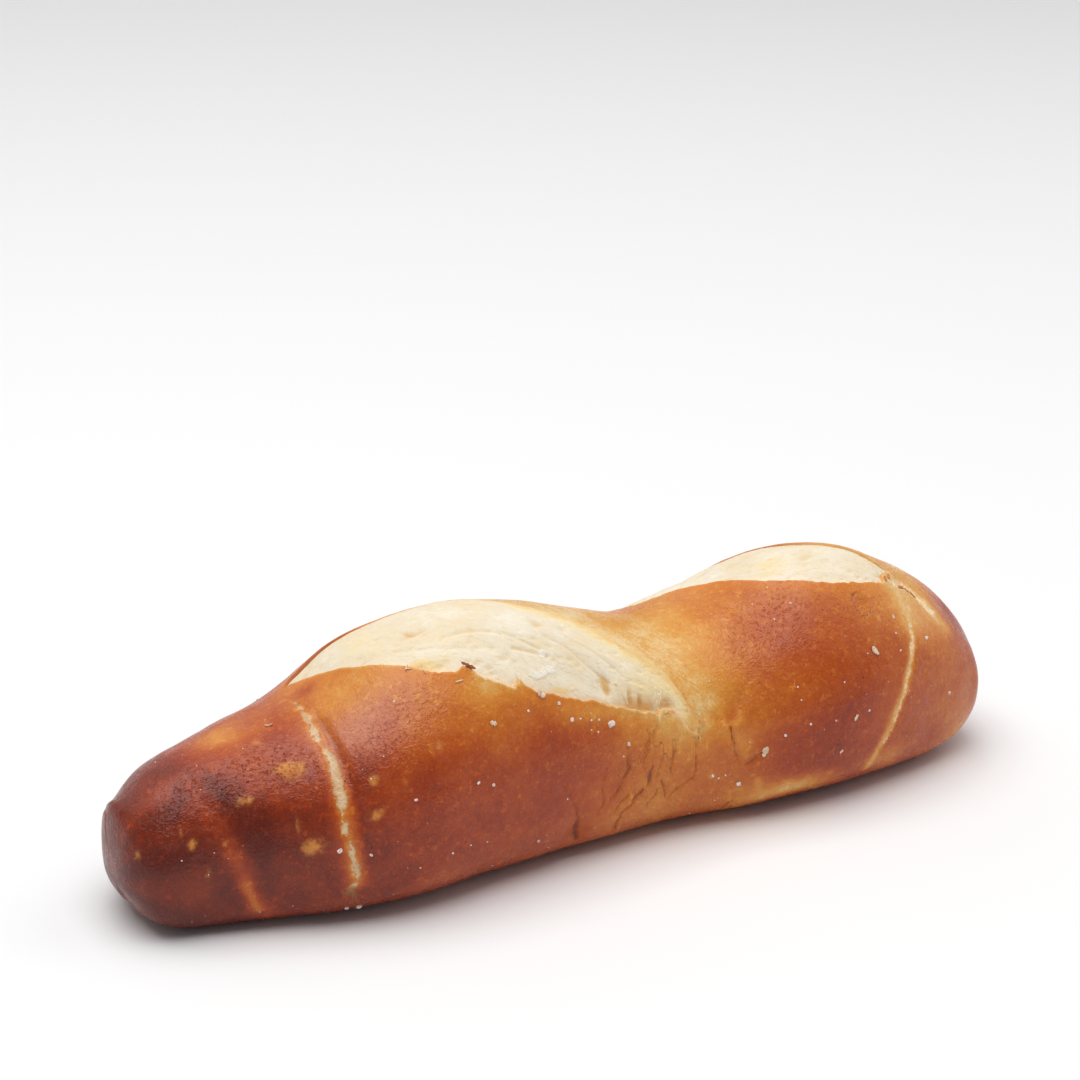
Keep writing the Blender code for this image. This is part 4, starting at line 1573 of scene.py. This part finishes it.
def crumb_material(settings):
    """Bare crumb: cream, a little warmer in large soft areas and, as painted light, lighter towards
    the near lip, with soft oval dimples and thin creases along its grain in warm painted shade,
    painted shade in pores and hollows, gold where it lies flush, and white where it tore."""
    material, nodes, shader = start_material("torn_crumb", 0.65, 0.25)
    where = nodes.place()
    small = nodes.noise(where, 1.3, detail=3.0, rough=0.6)
    grain = nodes.vector_field("grain", stretch=(2, 1, 1))
    dimples = nodes.ease(nodes.noise(grain, 0.8, detail=3.0, rough=0.6, bend=0.5), 0.48, 0.30)
    fibres = nodes.noise(nodes.vector_field("grain", stretch=(4, 1, 1)), 0.8, detail=3.0, bend=0.4)
    waves = nodes.noise(nodes.vector_field("grain", stretch=(3, 1, 1)), 4.0, detail=2.0, bend=1.2)
    creases = nodes.ease(nodes.creased(waves), 0.07, 0.0)
    creases = nodes.math("MULTIPLY", creases, nodes.ease(small, 0.40, 0.62))
    # Painted light: the crumb is made lighter towards the near lip, over the shade that falls there.
    painted_light_towards_lip = nodes.ease(nodes.part(nodes.vector_field("grain"), 1), -1.0, -10.0, 0.0, 0.5)
    toast = nodes.jitter(nodes.field("toast"), (small, 0.3), (fibres, 0.5))
    gilt = nodes.ramp(
        toast,
        (0.0, srgb(246, 228, 184)),
        (0.3, srgb(240, 216, 164)),
        (0.6, srgb(234, 196, 132)),
        (1.0, srgb(224, 168, 92)),
    )
    flecks = nodes.group(specks(), Where=where, Spacing=5.0, Radius=0.34, Share=0.16)
    torn = nodes.ease(nodes.jitter(nodes.field("torn"), (small, 1.0)), 0.3, 0.9)
    colour = nodes.ramp(
        nodes.jitter(nodes.noise(where, 9.0, detail=3.0), (small, 0.5)),
        (0.30, settings.warm_cream),
        (0.5, settings.cream),
        (0.68, settings.light_cream),
    )
    colour = nodes.laid_over(
        colour,
        (painted_light_towards_lip, srgb(248, 236, 212)),
        # Painted shade: warm darker colour in the dimples and in the creases along the grain.
        (nodes.math("MULTIPLY", dimples, 0.35), srgb(236, 208, 158)),
        (nodes.math("MULTIPLY", creases, 0.4), srgb(228, 194, 138)),
        (nodes.ease(toast, 0.02, 0.45), gilt),
        # Painted shade: tan in the hollows, and below it a darker tone in the pores.
        (nodes.ease(nodes.field("hollow"), 0.04, 0.7, 0.0, 0.95), srgb(220, 178, 116)),
        (nodes.ease(nodes.field("pore"), 0.04, 0.3, 0.0, 0.5), srgb(232, 200, 146)),
        (nodes.math("MULTIPLY", flecks, 0.5), srgb(232, 182, 122)),
        (torn, srgb(247, 239, 222)),
    )
    nodes.feed(shader.inputs["Base Color"], colour)
    height = nodes.total(
        (fibres, 0.03 * settings.relief),
        (dimples, -0.04 * settings.relief),
        (creases, -0.02 * settings.relief),
        (nodes.noise(where, 0.45, detail=2.0), 0.07 * settings.relief),
        (nodes.math("MULTIPLY", nodes.noise(where, 1.1, detail=3.0), torn), 0.45),
    )
    nodes.feed(shader.inputs["Normal"], nodes.bump(height))
    return material


def salt_material():
    """Cloudy salt grains, dusty white with a little of the crust's warmth."""
    material, nodes, shader = start_material("salt_grains", 0.5, 0.4)
    where = nodes.place()
    cloudy = nodes.noise(where, 0.5, detail=2.0)
    colour = nodes.ramp(cloudy, (0.35, srgb(214, 192, 180)), (0.65, srgb(240, 230, 222)))
    nodes.feed(shader.inputs["Base Color"], colour)
    nodes.feed(shader.inputs["Normal"], nodes.bump(nodes.math("MULTIPLY", cloudy, 0.08)))
    return material


def flake_material(name, dark, light):
    """Dry flakes of dough or crust, mottled between two colours."""
    material, nodes, shader = start_material(name, 0.55, 0.3)
    mottle = nodes.noise(nodes.place(), 0.7, detail=2.0)
    nodes.feed(shader.inputs["Base Color"], nodes.ramp(mottle, (0.35, dark), (0.65, light)))
    nodes.feed(shader.inputs["Normal"], nodes.bump(nodes.math("MULTIPLY", mottle, 0.12)))
    return material


# ----------------------------------------------------------------------------------------
# Stage
# ----------------------------------------------------------------------------------------


def aim_camera(camera, settings):
    """Places the camera on its sphere round the target, then turns it so that the target
    shows at the wanted pixel: it pitches and yaws by the angle of that pixel off the middle."""
    azimuth, elevation = settings.azimuth, settings.elevation
    target = Vector((0, 0, settings.target_height))
    back = Vector((
        math.sin(azimuth) * math.cos(elevation),
        -math.cos(azimuth) * math.cos(elevation),
        math.sin(elevation),
    ))
    forward = -back
    right = forward.cross(Vector((0, 0, 1))).normalized()
    up = right.cross(forward)
    focal = settings.lens / camera.data.sensor_width * settings.frame_pixels
    pitch = math.atan2(settings.target_pixel[1] - settings.frame_pixels / 2, focal)
    yaw = math.atan2(settings.target_pixel[0] - settings.frame_pixels / 2, focal)
    forward = forward * math.cos(pitch) + up * math.sin(pitch)
    up = right.cross(forward)
    forward = forward * math.cos(yaw) - right * math.sin(yaw)
    right = forward.cross(up).normalized()
    up = right.cross(forward)
    turn = Matrix((right, up, -forward)).transposed().to_4x4()
    camera.matrix_world = Matrix.Translation(target + back * settings.distance) @ turn


def make_camera(settings):
    """The camera that took the photo: its lens, place and aim."""
    lens = bpy.data.cameras.new("camera")
    lens.lens = settings.lens
    lens.sensor_width = 36
    camera = bpy.data.objects.new("camera", lens)
    bpy.context.scene.collection.objects.link(camera)
    aim_camera(camera, settings)
    bpy.context.scene.camera = camera


def make_floor(settings):
    """A plain pale square under the roll."""
    size = settings.floor_size / 2
    mesh = bpy.data.meshes.new("floor")
    corners = [(-size, -size, 0), (size, -size, 0), (size, size, 0), (-size, size, 0)]
    mesh.from_pydata(corners, [], [(0, 1, 2, 3)])
    floor = bpy.data.objects.new("floor", mesh)
    bpy.context.scene.collection.objects.link(floor)
    material, nodes, shader = start_material("pale_floor", 0.9, 0.5)
    nodes.feed(shader.inputs["Base Color"], settings.floor_colour)
    mesh.materials.append(material)


class Softbox(NamedTuple):
    """A flat rectangular light: its middle, the point that it faces, its width and height in
    metres, and its brightness, where 1 is a white card in the open."""

    name: str
    middle: tuple
    faces: tuple
    size: tuple
    brightness: float


SOFTBOXES = (
    Softbox("overhead", (-0.25, -0.06, 1.3), (-0.25, -0.06, 0), (1.3, 1.56), 3.0),
    Softbox("right_side", (1.3, -0.2, 0.9), (0, 0, 0), (1.6, 1.8), 0.8),
    Softbox("behind", (-0.2, 1.6, 0.9), (0, 0, 0), (2.4, 1.4), 0.5),
)


def make_softbox(box, level):
    """A light's power is its brightness times its area times pi."""
    lamp = bpy.data.lights.new(box.name, "AREA")
    lamp.shape = "RECTANGLE"
    lamp.size, lamp.size_y = box.size
    lamp.energy = math.pi * box.size[0] * box.size[1] * box.brightness * level
    light = bpy.data.objects.new(box.name, lamp)
    aim = Vector(box.faces) - Vector(box.middle)
    light.matrix_world = Matrix.Translation(box.middle) @ aim.to_track_quat("-Z", "Y").to_matrix().to_4x4()
    light.visible_camera = False
    bpy.context.scene.collection.objects.link(light)


def make_sky(settings):
    """A white room: the background shows white, and lights the roll with less."""
    world = bpy.data.worlds.new("studio")
    world.use_nodes = True
    nodes = Nodes(world.node_tree)
    seen = nodes.add("ShaderNodeLightPath").outputs["Is Camera Ray"]
    strength = nodes.ease(seen, 0.0, 1.0, settings.sky_strength, 1.0)
    background = world.node_tree.nodes["Background"]
    background.inputs["Color"].default_value = (1, 1, 1, 1)
    nodes.feed(background.inputs["Strength"], strength)
    bpy.context.scene.world = world


def tone(name, description, default):
    """A colour that the user may change."""
    return bpy.props.FloatVectorProperty(
        name=name, description=description, size=3, default=default, subtype="COLOR", min=0, max=1,
    )


class RollCrust(bpy.types.PropertyGroup):
    """Colours, gloss and relief of the crust."""

    crust_cream: tone("Cream", "Crust that hardly coloured", srgb(234, 208, 162))
    pale: tone("Pale", "Crust that only just coloured", srgb(232, 194, 134))
    gold: tone("Gold", "Lightly baked crust", srgb(222, 164, 84))
    amber: tone("Amber", "Golden brown crust", srgb(214, 136, 52))
    orange_brown: tone("Orange brown", "Half browned crust", srgb(196, 106, 36))
    brown: tone("Brown", "Well baked crust", srgb(178, 78, 24))
    red_brown: tone("Red brown", "Darker crust", srgb(154, 56, 18))
    mahogany: tone("Mahogany", "Dark crust of the nose", srgb(122, 40, 14))
    darkest: tone("Darkest", "Darkest crust", srgb(95, 28, 13))
    gloss: bpy.props.FloatProperty(
        name="Roughness", description="Roughness of the glossy crust", default=0.27, min=0, max=1,
    )
    mottling: bpy.props.FloatProperty(
        name="Mottling", description="How uneven the browning is", default=1.0, min=0, max=3,
    )
    relief: bpy.props.FloatProperty(
        name="Relief", description="Strength of the fine wrinkles and pits", default=1.0, min=0, max=3,
    )


class RollCrumb(bpy.types.PropertyGroup):
    """Colours and relief of the crumb."""

    cream: tone("Cream", "Colour of most of the crumb", srgb(233, 220, 195))
    warm_cream: tone("Warm cream", "Its warmer patches", srgb(232, 213, 178))
    light_cream: tone("Light cream", "Its paler patches", srgb(238, 229, 210))
    pore_depth: bpy.props.FloatProperty(
        name="Pore depth", description="Depth of the pores", default=1.0, min=0, max=3,
    )
    relief: bpy.props.FloatProperty(
        name="Relief", description="Strength of the fine wrinkles", default=1.0, min=0, max=3,
    )


class RollSalt(bpy.types.PropertyGroup):
    """Number and size of the salt grains."""

    fine_grains: bpy.props.IntProperty(
        name="Fine grains", description="How many fine grains lie all round", default=260, min=1,
    )
    grain_size: bpy.props.FloatProperty(
        name="Grain size", description="Times their measured size", default=1.0, min=0.1, max=3,
    )


class RollStage(bpy.types.PropertyGroup):
    """Camera, floor and lights."""

    azimuth: bpy.props.FloatProperty(
        name="Camera azimuth", description="Turn of the camera round the roll, 0 looking along +Y",
        default=math.radians(-30), subtype="ANGLE",
    )
    elevation: bpy.props.FloatProperty(
        name="Camera elevation", description="Height of the camera above the horizon",
        default=math.radians(24.1), subtype="ANGLE",
    )
    distance: bpy.props.FloatProperty(
        name="Camera distance", description="From the target to the camera",
        default=0.6195, subtype="DISTANCE",
    )
    lens: bpy.props.FloatProperty(name="Lens", description="Focal length in millimetres", default=100)
    target_height: bpy.props.FloatProperty(
        name="Target height", description="Height of the point aimed at over the roll's footprint",
        default=0.024, subtype="DISTANCE",
    )
    target_pixel: bpy.props.FloatVectorProperty(
        name="Target pixel", description="Where the target shows, from the picture's top left",
        size=2, default=(565, 710.6),
    )
    frame_pixels: bpy.props.FloatProperty(
        name="Frame", description="Width and height of the picture in pixels", default=1080,
    )
    floor_size: bpy.props.FloatProperty(
        name="Floor", description="Width of the floor", default=8, subtype="DISTANCE",
    )
    floor_colour: tone("Floor colour", "Colour of the pale floor", (0.88, 0.88, 0.88))
    light_level: bpy.props.FloatProperty(
        name="Light level", description="Times the brightness of the softboxes", default=1.0, min=0,
    )
    sky_strength: bpy.props.FloatProperty(
        name="Sky", description="Strength of the even white light from all round", default=0.22, min=0,
    )


class ROLL_OT_crust(bpy.types.Operator):
    """Make the baked crust"""

    bl_idname = "roll.crust"
    bl_label = "Crust"

    def execute(self, context):
        make_crust(context.scene.roll_crust)
        return {"FINISHED"}


class ROLL_OT_crumb(bpy.types.Operator):
    """Make the crumb that shows in the two cuts, with the strands over its hollows"""

    bl_idname = "roll.crumb"
    bl_label = "Crumb"

    def execute(self, context):
        for crumb in CRUMBS:
            make_crumb(crumb, context.scene.roll_crumb)
        make_strands()
        return {"FINISHED"}


class ROLL_OT_salt(bpy.types.Operator):
    """Make the salt grains and the loose flakes"""

    bl_idname = "roll.salt"
    bl_label = "Salt and flakes"

    def execute(self, context):
        make_salt(context.scene.roll_salt)
        make_flakes()
        return {"FINISHED"}


class ROLL_OT_stage(bpy.types.Operator):
    """Make the camera, the floor and the lights"""

    bl_idname = "roll.stage"
    bl_label = "Stage"

    def execute(self, context):
        settings = context.scene.roll_stage
        make_camera(settings)
        make_floor(settings)
        for box in SOFTBOXES:
            make_softbox(box, settings.light_level)
        make_sky(settings)
        context.scene.view_settings.view_transform = "Standard"
        return {"FINISHED"}


class ROLL_PT_panel(bpy.types.Panel):
    """Lists the pieces of the roll"""

    bl_label = "Pretzel roll"
    bl_idname = "ROLL_PT_panel"
    bl_space_type = "VIEW_3D"
    bl_region_type = "UI"
    bl_category = "Roll"

    def draw(self, context):
        for step in STEPS:
            self.layout.operator(step.bl_idname)


STEPS = (ROLL_OT_crust, ROLL_OT_crumb, ROLL_OT_salt, ROLL_OT_stage)
SETTINGS = {
    "roll_crust": RollCrust,
    "roll_crumb": RollCrumb,
    "roll_salt": RollSalt,
    "roll_stage": RollStage,
}
CLASSES = (*SETTINGS.values(), *STEPS, ROLL_PT_panel)


def register():
    """Adds the settings, the steps and the panel to Blender."""
    for shown in CLASSES:
        bpy.utils.register_class(shown)
    for name, group in SETTINGS.items():
        setattr(bpy.types.Scene, name, bpy.props.PointerProperty(type=group))


def unregister():
    """Takes them out again, in the opposite order."""
    for name in SETTINGS:
        delattr(bpy.types.Scene, name)
    for shown in reversed(CLASSES):
        bpy.utils.unregister_class(shown)


def main():
    """Registers the add-on, then makes every piece and the stage."""
    register()
    for step in STEPS:
        group, action = step.bl_idname.split(".")
        getattr(getattr(bpy.ops, group), action)()


if __name__ == "__main__":
    main()
